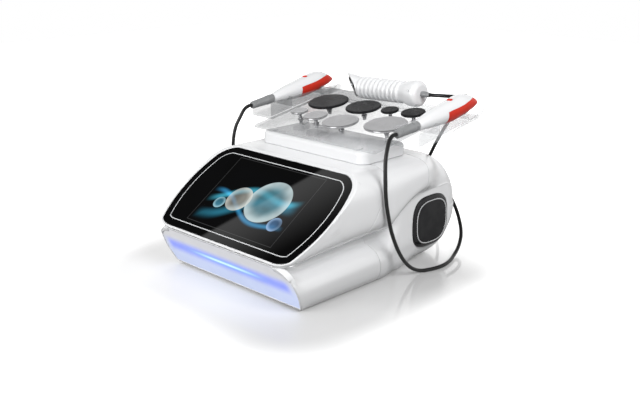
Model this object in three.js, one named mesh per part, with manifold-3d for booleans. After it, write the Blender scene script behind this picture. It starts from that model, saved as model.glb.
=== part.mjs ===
// A desktop tecar (radio-frequency) therapy machine: a white moulded housing with a tilted glass
// touch panel, a clear tray on top that carries eight disc electrodes, two corded handpieces in
// side cradles and a ribbed corded grip across the back.
// Units are millimetres, +X is the operator's right, +Y is the back, +Z is up. The origin is on
// the table, under the middle of the machine.

import * as THREE from "three";
import { mergeVertices } from "three/addons/utils/BufferGeometryUtils.js";
import Module from "manifold-3d";

const wasm = await Module();
wasm.setup();

// General clearances
const seatGap = 0.3;
const seamGap = 0.5;
const overrun = 12;
const farReach = 400;

// Housing, seen from the side
const body = {
  floorGap: 2.5,
  wall: 3,
  topHeight: 181,
  halfWidth: 166,
  shoulderHalf: 95,
  bulgeHeightFront: 131,
  bulgeHeightRear: 150,
  halfWidthRear: 160,
  lipHeight: 80,
  lipFrontY: -188,
  lipRearY: -60,
  lipHalf: 139,
  creaseHalf: 147,
  creaseTop: 124,
  creaseStart: 5,
  creaseEnd: 95,
  creaseLimitShare: 0.75,
};

// Base moulding: half widths of its side, from the bottom edge up to the neck under the lip
const base = {
  halfWidth: 154,
  splitTop: -24,
  splitBottom: -6,
};
const baseHeightShares = [0, 0.13, 0.28, 0.44, 0.54, 0.63, 0.7, 0.78, 0.987, 1];
const baseWidthShares = [0.935, 0.968, 0.99, 1, 0.987, 0.961, 0.91, 0.82, 0.82, 0.903];

// Round pods at the rear of both sides
const pod = {
  half: 143,
  tailHalf: 146,
  centreY: 121.5,
  centreZ: 84,
  radius: 88.6,
  rounding: 39,
  crownY: 100,
  crownReach: 110.1,
  crownRise: 97,
  blendStart: 0,
  blendEnd: 45,
  crownBlendEnd: 150,
  sectionEndShare: 0.9965,
};
const podWidthShares = [0.94, 0.975, 0.992, 1, 1, 1, 1, 1, 1, 1.005];
const upperLevelShares = [0, 0.1, 0.25, 0.42, 0.58, 0.72, 0.84, 0.92, 0.97, 1];
const shoulderPower = 3.3;
const undercutPowerFront = 4.5;
const undercutPowerRear = 2.4;
const sectionPlaces = [-188, -60, -24, -4, 10, 26, 45, 70, 92, 112, 132, 152, 170, 186, 199, 206.5];

// Split lines of the upper mouldings: the front one leans back, the rear one stands upright
const splits = {
  frontAtLip: -61.5,
  frontAtTop: 4.5,
  rear: 92,
};

// Tilted touch panel. Its own frame has u to the right, v up the slope and n out of the glass
const panel = {
  tilt: THREE.MathUtils.degToRad(33.8),
  frontY: -268.3,
  frontZ: 37.2,
  bottom: 75,
  top: 252.7,
  halfWidth: 161.5,
  sideBow: 19,
  lowCornerWidth: 22,
  lowCornerHeight: 11,
  highCornerWidth: 24,
  highCornerHeight: 28,
  rim: 4,
  glass: 2,
  glassDrop: 0.3,
  shelf: 7,
  wall: 5.5,
  openFromShare: 0.7,
};
const panelCornerShares = [0, 0.08, 0.3, 0.6, 1];
const panelSideShares = [0.14, 0.28, 0.42, 0.56, 0.7, 0.84];
const display = {
  halfWidth: 100,
  bottom: 93,
  top: 238,
  depth: 9,
  board: 1.6,
  boardInset: 14,
  boardGap: 0.3,
};

// Slanted front face with the frosted light panel
const front = {
  topY: -208.9,
  topZ: 74.1,
  bottomY: -172.8,
  frameDepth: 8,
  frameWidth: 3,
  panelDepth: 3,
  panelInset: 0.6,
  blankReach: 4.1,
};
const frontFaceWidthShares = [0.942, 0.968, 0.99, 1, 0.994, 0.962, 0.9, 0.79];
const frontFaceHeightShares = [0, 0.14, 0.31, 0.48, 0.66, 0.83, 0.93, 1];
const light = {
  halfLength: 128,
  centreHeight: 40,
  height: 12,
  depth: 5,
};

// Squircle caps in the pods
const cap = {
  centreY: 120.5,
  centreZ: 70,
  halfLength: 46,
  halfHeight: 43,
  proud: 4.5,
  rim: 0.5,
  seat: 4,
  faceShare: 0.83,
  shoulderShare: 0.94,
  shoulderRiseShare: 0.7,
  ringShare: 0.85,
  ringWidth: 2.2,
  ringProud: 0.7,
  ringDepth: 1.5,
  power: 2.9,
  steps: 24,
};

// Rear connector panel, a tub let into the back of the rear moulding
const rear = {
  halfWidth: 92,
  bottom: 50,
  top: 118,
  plateY: 188,
  plate: 3,
  wall: 2.5,
  socketZ: 92,
};
const leadSocket = {
  radius: 8,
  bore: 5.2,
  proud: 2,
  behind: 10,
  sides: 12,
  places: { left: -76, grip: 44, right: 76 },
};
const inlet = {
  centreX: 6,
  centreZ: 84,
  halfWidth: 14.5,
  halfHeight: 29,
  flange: 2,
  bodyHalfWidth: 13,
  bodyHalfHeight: 27,
  depth: 26,
  cavityHalfWidth: 10.5,
  cavityHeight: 16,
  cavityDepth: 16,
  cavityCentre: -15,
  pinHalfWidth: 1,
  pinHalfHeight: 2,
  pinLength: 13,
  pinSpread: 6.5,
  pinDrop: 2,
  rockerCentre: 16,
  rockerHalfWidth: 9.2,
  rockerHalfHeight: 6,
  rockerDepth: 6,
  rockerProud: 2,
  rockerTilt: THREE.MathUtils.degToRad(9),
  rockerGap: 0.7,
  rockerPocket: 11,
  rockerBackShare: 0.45,
  rockerFaceShare: 0.92,
  rockerDishShare: 0.4,
  drawerCentre: 3,
  drawerHalfWidth: 8.5,
  drawerHalfHeight: 3.2,
  drawerDepth: 18,
  drawerGap: 0.3,
  drawerProud: 1,
};
const fan = {
  centreX: -36,
  centreZ: 84,
  half: 25,
  depth: 15,
  bore: 23.2,
  boreSides: 24,
  hub: 11,
  hubLength: 11,
  bladeReach: 22.2,
  bladeThick: 1.6,
  bladeLength: 10,
  bladeRoot: 1,
  bladePitch: THREE.MathUtils.degToRad(32),
  blades: 7,
  spokeWidth: 3,
  spokeDepth: 2,
  spokes: 4,
  runningGap: 0.5,
  grilleSlots: 6,
  grilleSlot: 2.6,
  grilleReach: 40,
};

// Inside the housing
const inside = {
  gap: 0.3,
};
const foot = {
  radius: 11,
  height: 4,
  centreX: 98,
  frontY: -150,
  rearY: 112,
  chamfer: 0.8,
  segments: 16,
};
const supply = {
  length: 110,
  width: 150,
  height: 42,
  centreX: -45,
  centreY: 40,
};
const sink = {
  length: 110,
  width: 84,
  height: 30,
  centreX: 72,
  centreY: 40,
  plate: 6,
  fins: 9,
  finThick: 2,
};
const rfBoard = {
  length: 104,
  width: 78,
  thickness: 1.6,
};

// Raised plinth under the tray
const plinth = {
  halfWidth: 116,
  frontY: -14,
  rearY: 92,
  height: 20,
  cornerRadius: 14,
  edgeRadius: 5,
};

// Top of the plinth: the tray, and all that lies in it, takes its heights from here
const plinthTop = body.topHeight + plinth.height;

// Clear tray: a sloping deck between two side cradles, and a channel for the grip across the back
const tray = {
  slope: THREE.MathUtils.degToRad(10),
  deckFront: -11,
  deckRear: 151.7,
  deckFrontRise: 5,
  deckThick: 4,
  legWidth: 8,
  legLength: 14,
  legInset: 20,
};
const cradle = {
  inner: 137,
  outer: 188,
  wall: 4,
  floor: 4,
  frontY: 33,
  rearY: 206,
  frontBottomRise: 8,
  frontTopRise: 33,
  rearTopRise: 49,
  innerFrontTopRise: 37,
  rearDrop: 20,
  saddlePlaces: [84, 158],
  saddleThick: 4,
  saddleRise: 9,
};
const rest = {
  wall: 5,
  floor: 3,
  depth: 25,
  topRise: 51,
  rearTopRise: 45,
};

// Disc electrodes: the disc stands on a stem whose pin drops through a hole in the deck
const electrode = {
  stemRadius: 6,
  stemRise: 13,
  pinRadius: 3.5,
  pinLength: 7,
  pinGap: 0.5,
  edge: 1,
  blackThick: 4,
  steelThick: 3,
  segments: 18,
  holeSides: 12,
};
const deckHalf = cradle.inner - seatGap;
const discRadii = { 70: 35, 60: 30, 40: 20, 30: 15 };
// Places of the discs on the deck, as shares of its half width and of its length from the front
const blackPlaceShares = [
  { size: 70, across: -0.479, along: 0.688 },
  { size: 60, across: 0.084, along: 0.71 },
  { size: 30, across: 0.464, along: 0.75 },
  { size: 40, across: 0.783, along: 0.787 },
];
const steelPlaceShares = [
  { size: 30, across: -0.578, along: 0.344 },
  { size: 40, across: -0.267, along: 0.313 },
  { size: 60, across: 0.168, along: 0.295 },
  { size: 70, across: 0.739, along: 0.418 },
];
const electrodesFrom = (kind, places) => places.map(({ size, across, along }) => ({
  name: `${kind}_electrode_${size}`,
  radius: discRadii[size],
  x: across * deckHalf,
  y: tray.deckFront + along * (tray.deckRear - tray.deckFront),
}));
const blackElectrodes = electrodesFrom("black", blackPlaceShares);
const steelElectrodes = electrodesFrom("steel", steelPlaceShares);

// Corded handpiece, lying along Y in its cradle
const hand = {
  axisX: 161.5,
  tipReach: 2.5,
  tipRise: 0.8,
  tipHalf: 1.6,
  collarStart: 8,
  collarEnd: 56,
  collarCentreRise: 32.7,
  collarRadiusStart: 6.3,
  length: 144,
  lowRise: 38.5,
  climb: 19.5,
  rise: 17.2,
  half: 19,
  sides: 20,
  splitGap: 0.3,
  buttonShare: 0.556,
  buttonRadius: 4.5,
  buttonProud: 1.2,
  buttonDepth: 6,
  buttonTravel: 1.2,
  buttonGap: 0.5,
  buttonFloorGap: 0.6,
  lampShare: 0.84,
  lampRadius: 3,
  lampDepth: 3,
  lampProud: 0.4,
  roundSides: 14,
};
// Stations of the handpiece from the collar to the tip, as shares of its length, of the climb of
// its middle line, of its half height and of its half width
const handStationShares = [
  { along: 0, climb: 0, rise: 0.465, half: 0.421 },
  { along: 0.167, climb: 0.215, rise: 0.686, half: 0.632 },
  { along: 0.361, climb: 0.41, rise: 0.872, half: 0.816 },
  { along: 0.556, climb: 0.631, rise: 1, half: 0.947 },
  { along: 0.722, climb: 0.897, rise: 0.988, half: 1 },
  { along: 0.847, climb: 1, rise: 0.756, half: 0.921 },
  { along: 0.944, climb: 0.974, rise: 0.442, half: 0.684 },
  { along: 1, climb: 0.923, rise: 0.198, half: 0.395 },
];
const handStations = handStationShares.map(({ along, climb, rise, half }) => ({
  y: hand.collarEnd + along * hand.length,
  middle: hand.lowRise + climb * hand.climb,
  rise: rise * hand.rise,
  half: half * hand.half,
}));
// Upper edge of the red bumper, from its front end to the tip, as shares of the same length and climb
const bumperEdgeShares = [
  { along: 0.41, climb: 0.72 },
  { along: 0.493, climb: 0.85 },
  { along: 0.583, climb: 0.965 },
  { along: 0.667, climb: 1.1 },
  { along: 0.743, climb: 1.265 },
  { along: 0.813, climb: 1.39 },
  { along: 0.889, climb: 1.44 },
];
const bumperEdge = bumperEdgeShares.map(({ along, climb }) => ({
  y: hand.collarEnd + along * hand.length,
  z: hand.lowRise + climb * hand.climb,
}));

// Ribbed grip that lies along X on the rest
const grip = {
  centreY: 164.5,
  centreRise: 60,
  slope: THREE.MathUtils.degToRad(-2),
  rightEnd: 84,
  radius: 19.5,
  headX: -70,
  headRise: 2.5,
  headRadius: 23,
  headTurn: THREE.MathUtils.degToRad(50),
  headDip: THREE.MathUtils.degToRad(22),
  neckX: -47,
  neckRadius: 17.5,
  neckOverlap: 2,
  tailRadius: 22,
  tailStartShare: 0.55,
  tailChamfer: 5,
  ribStart: -46,
  ribEnd: 44,
  ribs: 10,
  ribRise: 2.2,
  plateRadius: 18.5,
  plateDrop: 3.5,
  plateThick: 2,
  plateGap: 0.3,
  segments: 16,
  collarRadius: 5,
  collarLength: 16,
  collarTip: 3.9,
};

// Leads: each runs from its handpiece down to the table and round to its plug at the rear
const lead = {
  radius: 3,
  sides: 8,
  step: 20,
};
const plug = {
  radius: 7,
  length: 20,
  gripShare: 0.6,
  shoulderShare: 0.75,
  shoulderDrop: 1.5,
  reliefRadius: 3.8,
  reliefLength: 7,
  reliefEndRadius: 3.3,
  pinRadius: 4.6,
  pinLength: 5,
  segments: 12,
};
const handLeadRoute = [
  [161.5, 7.7, 233.7],
  [161.5, 1, 233.6],
  [162.4, -8, 228.8],
  [165, -16.5, 215],
  [168, -23, 201],
  [171, -26.5, 181],
  [172.5, -27, 158],
  [173, -24.5, 134.5],
  [173, -20.5, 118],
  [172.5, -12.5, 92.5],
  [171.5, -1, 68.5],
  [170, 13.5, 46],
  [168.5, 31, 26],
  [168, 50, 11.5],
  [170, 67, 4.4],
  [175.5, 83, 3.4],
  [179.5, 103, 3.4],
  [178.5, 122, 3.4],
  [173.5, 141, 3.6],
  [166.5, 159, 5],
  [161, 175, 9],
  [156, 188, 15.5],
  [150, 200, 25],
  [142, 209.5, 35.5],
  [131, 219, 46],
  [117, 229, 58],
  [101, 237, 71],
  [88.5, 240, 82],
  [79.5, 236, 90],
  [76.4, 228.5, 92],
  [76, 221.3, 92],
];
const gripLeadRoute = [
  [100.6, 164.5, 264.6],
  [109, 164.8, 265],
  [119, 166.8, 265.6],
  [129, 171.5, 265.6],
  [136, 179.5, 265],
  [139.5, 190, 263.4],
  [138.5, 201, 260.8],
  [133.5, 211.5, 256.5],
  [124, 220.5, 249],
  [112, 228, 238],
  [98, 234, 223],
  [85, 238, 206],
  [72, 241, 188],
  [59, 243.5, 168],
  [46.5, 245.5, 146],
  [34.5, 247.5, 122],
  [24, 249.5, 97],
  [15.5, 251.5, 71],
  [11, 253.5, 45],
  [12, 255, 22],
  [20, 256, 7],
  [34, 256.5, 3.6],
  [48, 257, 9],
  [57.5, 257, 25],
  [61, 255.5, 46],
  [58.5, 251.5, 68],
  [52, 244.5, 84.5],
  [46, 234.5, 91.5],
  [44, 227, 92],
  [44, 221.3, 92],
];

const materials = {
  whiteGloss: new THREE.MeshStandardMaterial({ color: 0xf2f3f5, roughness: 0.22, metalness: 0 }),
  frostedLight: new THREE.MeshStandardMaterial({ color: 0xd3d3ee, roughness: 0.45, metalness: 0 }),
  lightGuide: new THREE.MeshStandardMaterial({ color: 0x8fa6ff, roughness: 0.3, metalness: 0 }),
  blackGlass: new THREE.MeshStandardMaterial({ color: 0x060607, roughness: 0.06, metalness: 0 }),
  blackGloss: new THREE.MeshStandardMaterial({ color: 0x111113, roughness: 0.2, metalness: 0 }),
  silver: new THREE.MeshStandardMaterial({ color: 0xd5d7da, roughness: 0.2, metalness: 1 }),
  polishedSteel: new THREE.MeshStandardMaterial({ color: 0xb4b5b6, roughness: 0.22, metalness: 1 }),
  darkCoating: new THREE.MeshStandardMaterial({ color: 0x3c3c3d, roughness: 0.5, metalness: 0 }),
  clearAcrylic: new THREE.MeshStandardMaterial({
    color: 0xdfe3e6, roughness: 0.08, metalness: 0, transparent: true, opacity: 0.35,
  }),
  redRubber: new THREE.MeshStandardMaterial({ color: 0xcf2a1a, roughness: 0.4, metalness: 0 }),
  greyPlastic: new THREE.MeshStandardMaterial({ color: 0x8d8f92, roughness: 0.35, metalness: 0 }),
  blackRubber: new THREE.MeshStandardMaterial({ color: 0x1b1b1c, roughness: 0.45, metalness: 0 }),
  blackPlastic: new THREE.MeshStandardMaterial({ color: 0x1d1e20, roughness: 0.5, metalness: 0 }),
  zincSheet: new THREE.MeshStandardMaterial({ color: 0xa9adb0, roughness: 0.4, metalness: 1 }),
  aluminium: new THREE.MeshStandardMaterial({ color: 0xb9bcbf, roughness: 0.35, metalness: 1 }),
  greenBoard: new THREE.MeshStandardMaterial({ color: 0x1c5a38, roughness: 0.5, metalness: 0 }),
};

const machine = new THREE.Group();

// Small helpers

function mix(a, b, share) {
  return a + (b - a) * share;
}

function smooth(from, to, value) {
  return THREE.MathUtils.smoothstep(value, from, to);
}

function toSolid(geometry) {
  const clean = geometry.clone();
  clean.deleteAttribute("normal");
  clean.deleteAttribute("uv");
  const merged = mergeVertices(clean);
  const vertProperties = new Float32Array(merged.attributes.position.array);
  const triVerts = new Uint32Array(merged.index.array);
  return new wasm.Manifold(new wasm.Mesh({ numProp: 3, vertProperties, triVerts }));
}

function toGeometry(solid) {
  const mesh = solid.getMesh();
  const geometry = new THREE.BufferGeometry();
  const places = new Float32Array((mesh.vertProperties.length / mesh.numProp) * 3);
  for (let i = 0; i < places.length / 3; i += 1) {
    places[i * 3] = mesh.vertProperties[i * mesh.numProp];
    places[i * 3 + 1] = mesh.vertProperties[i * mesh.numProp + 1];
    places[i * 3 + 2] = mesh.vertProperties[i * mesh.numProp + 2];
  }
  geometry.setAttribute("position", new THREE.BufferAttribute(places, 3));
  geometry.setIndex(new THREE.BufferAttribute(new Uint32Array(mesh.triVerts), 1));
  geometry.computeVertexNormals();
  return geometry;
}

function add(name, shape, material, parent = machine) {
  const geometry = shape.isBufferGeometry ? shape : toGeometry(shape);
  const mesh = new THREE.Mesh(geometry, material);
  mesh.name = name;
  parent.add(mesh);
  return mesh;
}

function signedVolume(geometry) {
  const place = geometry.attributes.position;
  const index = geometry.index.array;
  const a = new THREE.Vector3();
  const b = new THREE.Vector3();
  const c = new THREE.Vector3();
  let volume = 0;
  for (let i = 0; i < index.length; i += 3) {
    a.fromBufferAttribute(place, index[i]);
    b.fromBufferAttribute(place, index[i + 1]);
    c.fromBufferAttribute(place, index[i + 2]);
    volume += a.dot(b.cross(c));
  }
  return volume;
}

// A closed skin through rings of points, with both ends capped
function loft(rings, capPlane) {
  const count = rings[0].length;
  const places = rings.flat().flatMap((point) => [point.x, point.y, point.z]);
  const index = [];
  for (let ring = 0; ring < rings.length - 1; ring += 1) {
    for (let i = 0; i < count; i += 1) {
      const next = (i + 1) % count;
      const low = ring * count;
      const high = low + count;
      index.push(low + i, low + next, high + next, low + i, high + next, high + i);
    }
  }
  const capOf = (ring, offset, flip) => {
    const outline = ring.map(capPlane);
    const faces = THREE.ShapeUtils.triangulateShape(outline, []);
    const turned = THREE.ShapeUtils.area(outline) < 0;
    for (const [a, b, c] of faces) {
      const keep = turned === flip;
      index.push(offset + a, offset + (keep ? b : c), offset + (keep ? c : b));
    }
  };
  capOf(rings[0], 0, true);
  capOf(rings[rings.length - 1], (rings.length - 1) * count, false);
  const geometry = new THREE.BufferGeometry();
  geometry.setAttribute("position", new THREE.Float32BufferAttribute(places, 3));
  geometry.setIndex(index);
  if (signedVolume(geometry) < 0) {
    for (let i = 0; i < index.length; i += 3) {
      [index[i + 1], index[i + 2]] = [index[i + 2], index[i + 1]];
    }
    geometry.setIndex(index);
  }
  geometry.computeVertexNormals();
  return geometry;
}

function box(xFrom, xTo, yFrom, yTo, zFrom, zTo) {
  const geometry = new THREE.BoxGeometry(xTo - xFrom, yTo - yFrom, zTo - zFrom);
  geometry.translate((xFrom + xTo) / 2, (yFrom + yTo) / 2, (zFrom + zTo) / 2);
  return geometry;
}

function extrudeFlat(shape, depth, curveSegments = 6) {
  return new THREE.ExtrudeGeometry(shape, { depth, bevelEnabled: false, curveSegments });
}

// A shape drawn in the YZ plane, extruded from one X to another
function slabAcrossX(points, xFrom, xTo) {
  const shape = new THREE.Shape(points.map(([y, z]) => new THREE.Vector2(y, z)));
  const geometry = extrudeFlat(shape, xTo - xFrom);
  geometry.applyMatrix4(new THREE.Matrix4().set(0, 0, 1, xFrom, 1, 0, 0, 0, 0, 1, 0, 0, 0, 0, 0, 1));
  return geometry;
}

function cylinderAlongY(radius, x, z, yFrom, yTo, segments = 20) {
  const geometry = new THREE.CylinderGeometry(radius, radius, yTo - yFrom, segments);
  geometry.translate(x, (yFrom + yTo) / 2, z);
  return geometry;
}

function cylinderAlongZ(radius, x, y, zFrom, zTo, segments = 20) {
  const geometry = new THREE.CylinderGeometry(radius, radius, zTo - zFrom, segments);
  geometry.rotateX(Math.PI / 2);
  geometry.translate(x, y, (zFrom + zTo) / 2);
  return geometry;
}

function roundedRectangle(halfWidth, from, to, radius) {
  const shape = new THREE.Shape();
  shape.moveTo(-halfWidth + radius, from);
  shape.lineTo(halfWidth - radius, from);
  shape.absarc(halfWidth - radius, from + radius, radius, -Math.PI / 2, 0);
  shape.lineTo(halfWidth, to - radius);
  shape.absarc(halfWidth - radius, to - radius, radius, 0, Math.PI / 2);
  shape.lineTo(-halfWidth + radius, to);
  shape.absarc(-halfWidth + radius, to - radius, radius, Math.PI / 2, Math.PI);
  shape.lineTo(-halfWidth, from + radius);
  shape.absarc(-halfWidth + radius, from + radius, radius, Math.PI, Math.PI * 1.5);
  return shape;
}

// Housing form: the half width of the body at any place on its side

function creaseShare(y) {
  return THREE.MathUtils.clamp((y - body.creaseStart) / (body.creaseEnd - body.creaseStart), 0, 1);
}

// Height of the lip under the upper mouldings: it drops a little towards the front
function lipHeightAt(y) {
  const share = THREE.MathUtils.clamp((y - body.lipFrontY) / (body.lipRearY - body.lipFrontY), 0, 1);
  return mix(front.topZ, body.lipHeight, share);
}

// Height where the upper mouldings meet the lower ones: the lip, then the crease over the pod
function creaseHeight(y) {
  const share = creaseShare(y);
  return mix(lipHeightAt(y), body.creaseTop, 1 - (1 - share) ** 2);
}

function topHeight(y) {
  if (y <= pod.crownY) {
    return body.topHeight;
  }
  const run = Math.min(1, (y - pod.crownY) / pod.crownReach);
  return pod.centreZ + (body.topHeight - pod.centreZ) * Math.sqrt(1 - run * run);
}

function bottomHeight(y) {
  if (y <= pod.centreY) {
    return body.floorGap;
  }
  const run = Math.min(1, (y - pod.centreY) / pod.radius);
  return Math.max(body.floorGap, pod.centreZ - pod.radius * Math.sqrt(1 - run * run));
}

function roundingLoss(edgeDistance) {
  const reach = Math.max(0, pod.rounding - Math.max(0, edgeDistance));
  return pod.rounding - Math.sqrt(pod.rounding ** 2 - reach ** 2);
}

function podEdgeDistance(y, z) {
  if (z >= pod.centreZ) {
    const across = Math.max(0, y - pod.crownY) / pod.crownReach;
    const up = (z - pod.centreZ) / (body.topHeight - pod.centreZ);
    return (1 - Math.hypot(across, up)) * pod.crownRise;
  }
  const across = Math.max(0, y - pod.centreY) / pod.radius;
  const down = (pod.centreZ - z) / pod.radius;
  return (1 - Math.hypot(across, down)) * pod.radius;
}

function lowerHalfWidth(y, level) {
  const blend = smooth(pod.blendStart, pod.blendEnd, y);
  const ofBase = base.halfWidth * baseWidthShares[level];
  const ofPod = mix(pod.tailHalf, pod.half, smooth(pod.blendEnd, pod.crownY, y)) * podWidthShares[level];
  const z = mix(bottomHeight(y), creaseHeight(y), baseHeightShares[level]);
  const loss = roundingLoss(podEdgeDistance(y, z)) * smooth(pod.blendEnd, pod.centreY, y);
  return mix(ofBase, ofPod, blend) - loss;
}

function upperHalfWidth(y, z) {
  const share = creaseShare(y);
  const bulge = mix(body.bulgeHeightFront, body.bulgeHeightRear, share);
  const widest = mix(body.halfWidth, body.halfWidthRear, share);
  const crease = mix(body.lipHalf, body.creaseHalf, 1 - (1 - share) ** 4);
  let ofBody = 0;
  if (z < bulge) {
    const down = (bulge - z) / (bulge - creaseHeight(y));
    const power = mix(undercutPowerFront, undercutPowerRear, share);
    ofBody = widest - (widest - crease) * down ** power;
  } else {
    const rise = Math.min(1, (z - bulge) / Math.max(1, topHeight(y) - bulge));
    const round = (1 - rise ** shoulderPower) ** (1 / shoulderPower);
    ofBody = mix(body.shoulderHalf, widest, round);
  }
  const ofPod = pod.half - roundingLoss(podEdgeDistance(y, z));
  return mix(ofBody, ofPod, smooth(splits.rear, pod.crownBlendEnd, y));
}

// One closed section of the housing at a place along Y, drawn in by the wall for the hollow
function housingSection(y, inset) {
  const right = [];
  const bottom = bottomHeight(y);
  const crease = creaseHeight(y);
  const top = topHeight(y);
  const creaseNow = Math.min(crease, mix(bottom, top, body.creaseLimitShare));
  const lower = baseHeightShares.map((share, level) => ({
    x: lowerHalfWidth(y, level),
    z: mix(bottom, creaseNow, share),
  }));
  const upper = upperLevelShares.map((share) => {
    const z = mix(creaseNow, top, share);
    return { x: upperHalfWidth(y, z), z };
  });
  const levels = lower.slice(0, -1).concat(upper);
  levels.forEach(({ x, z }, i) => {
    const below = levels[Math.max(0, i - 1)];
    const above = levels[Math.min(levels.length - 1, i + 1)];
    const narrow = inset > 0 ? Math.min(x, (x + below.x) / 2, (x + above.x) / 2) : x;
    const fromMiddle = (2 * z - bottom - top) / (top - bottom);
    right.push(new THREE.Vector3(Math.max(inset, narrow - inset), y, z - fromMiddle * inset));
  });
  const left = right.map((point) => new THREE.Vector3(-point.x, point.y, point.z)).reverse();
  return right.concat(left);
}

function housingSolid(inset) {
  const end = mix(pod.centreY, pod.centreY + pod.radius, pod.sectionEndShare) - inset;
  const places = sectionPlaces.filter((y) => y < end - inset);
  const stations = [front.topY - front.blankReach + inset, ...places, end];
  const rings = stations.map((y) => housingSection(y, inset));
  return toSolid(loft(rings, (point) => new THREE.Vector2(point.x, point.z)));
}

// Panel frame: where its u, v, n axes lie in the machine
const panelFrame = new THREE.Matrix4()
  .makeTranslation(0, panel.frontY, panel.frontZ)
  .multiply(new THREE.Matrix4().makeRotationX(panel.tilt));

function panelHalfWidth(v, grow) {
  const middle = (panel.bottom + panel.top) / 2;
  const half = (panel.top - panel.bottom) / 2;
  const side = panel.halfWidth + grow - panel.sideBow * ((v - middle) / half) ** 2;
  const low = THREE.MathUtils.clamp(1 - (v - panel.bottom + grow) / (panel.lowCornerHeight + grow), 0, 1);
  const high = THREE.MathUtils.clamp(1 - (panel.top + grow - v) / (panel.highCornerHeight + grow), 0, 1);
  const lowLoss = (panel.lowCornerWidth + grow) * (1 - Math.sqrt(1 - low * low));
  const highLoss = (panel.highCornerWidth + grow) * (1 - Math.sqrt(1 - high * high));
  return side - lowLoss - highLoss;
}

// Outline of the glass, grown or drawn in, as a shape in the panel's u and v
function panelOutline(grow, openTop = false) {
  const lowHeight = panel.lowCornerHeight + grow;
  const highHeight = panel.highCornerHeight + grow;
  const bottom = panel.bottom - grow;
  const top = panel.top + grow;
  const levels = panelCornerShares.map((share) => bottom + lowHeight * share);
  levels.push(...panelSideShares.map((share) => mix(bottom + lowHeight, top - highHeight, share)));
  if (!openTop) {
    levels.push(...panelCornerShares.map((share) => top - highHeight * share).reverse());
  }
  const right = levels.map((v) => new THREE.Vector2(panelHalfWidth(v, grow), v));
  if (openTop) {
    right.push(new THREE.Vector2(farReach, mix(panel.bottom, panel.top, panel.openFromShare)));
    right.push(new THREE.Vector2(farReach, farReach));
  }
  const left = right.map((point) => new THREE.Vector2(-point.x, point.y)).reverse();
  return new THREE.Shape(right.concat(left));
}

function panelPrism(shape, nFrom, nTo) {
  const geometry = extrudeFlat(shape, nTo - nFrom);
  geometry.translate(0, 0, nFrom);
  geometry.applyMatrix4(panelFrame);
  return toSolid(geometry);
}

function panelBox(halfWidth, vFrom, vTo, nFrom, nTo) {
  const geometry = box(-halfWidth, halfWidth, vFrom, vTo, nFrom, nTo);
  geometry.applyMatrix4(panelFrame);
  return toSolid(geometry);
}

// Slanted front face: its run in Y for a height
function frontFaceY(z) {
  return mix(front.bottomY, front.topY, z / front.topZ);
}

const frontTilt = Math.atan2(front.bottomY - front.topY, front.topZ);
const frontLength = Math.hypot(front.bottomY - front.topY, front.topZ);
const frontFrame = new THREE.Matrix4()
  .makeTranslation(0, front.bottomY, 0)
  .multiply(new THREE.Matrix4().makeRotationX(Math.PI / 2 + frontTilt));

// Outline of the front face in its own plane, drawn in by a margin
function frontOutline(margin) {
  const lowest = body.floorGap / Math.cos(frontTilt);
  const levels = frontFaceHeightShares.map((share, i) => new THREE.Vector2(
    base.halfWidth * frontFaceWidthShares[i] - margin,
    mix(lowest + margin, frontLength - margin, share),
  ));
  const left = levels.map((point) => new THREE.Vector2(-point.x, point.y)).reverse();
  return new THREE.Shape(levels.concat(left));
}

function frontPrism(margin, nFrom, nTo) {
  const geometry = extrudeFlat(frontOutline(margin), nTo - nFrom);
  geometry.translate(0, 0, nFrom);
  geometry.applyMatrix4(frontFrame);
  return toSolid(geometry);
}

function footPlaces() {
  return [-1, 1].flatMap((side) => [foot.frontY, foot.rearY].map((y) => [side * foot.centreX, y]));
}

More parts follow.
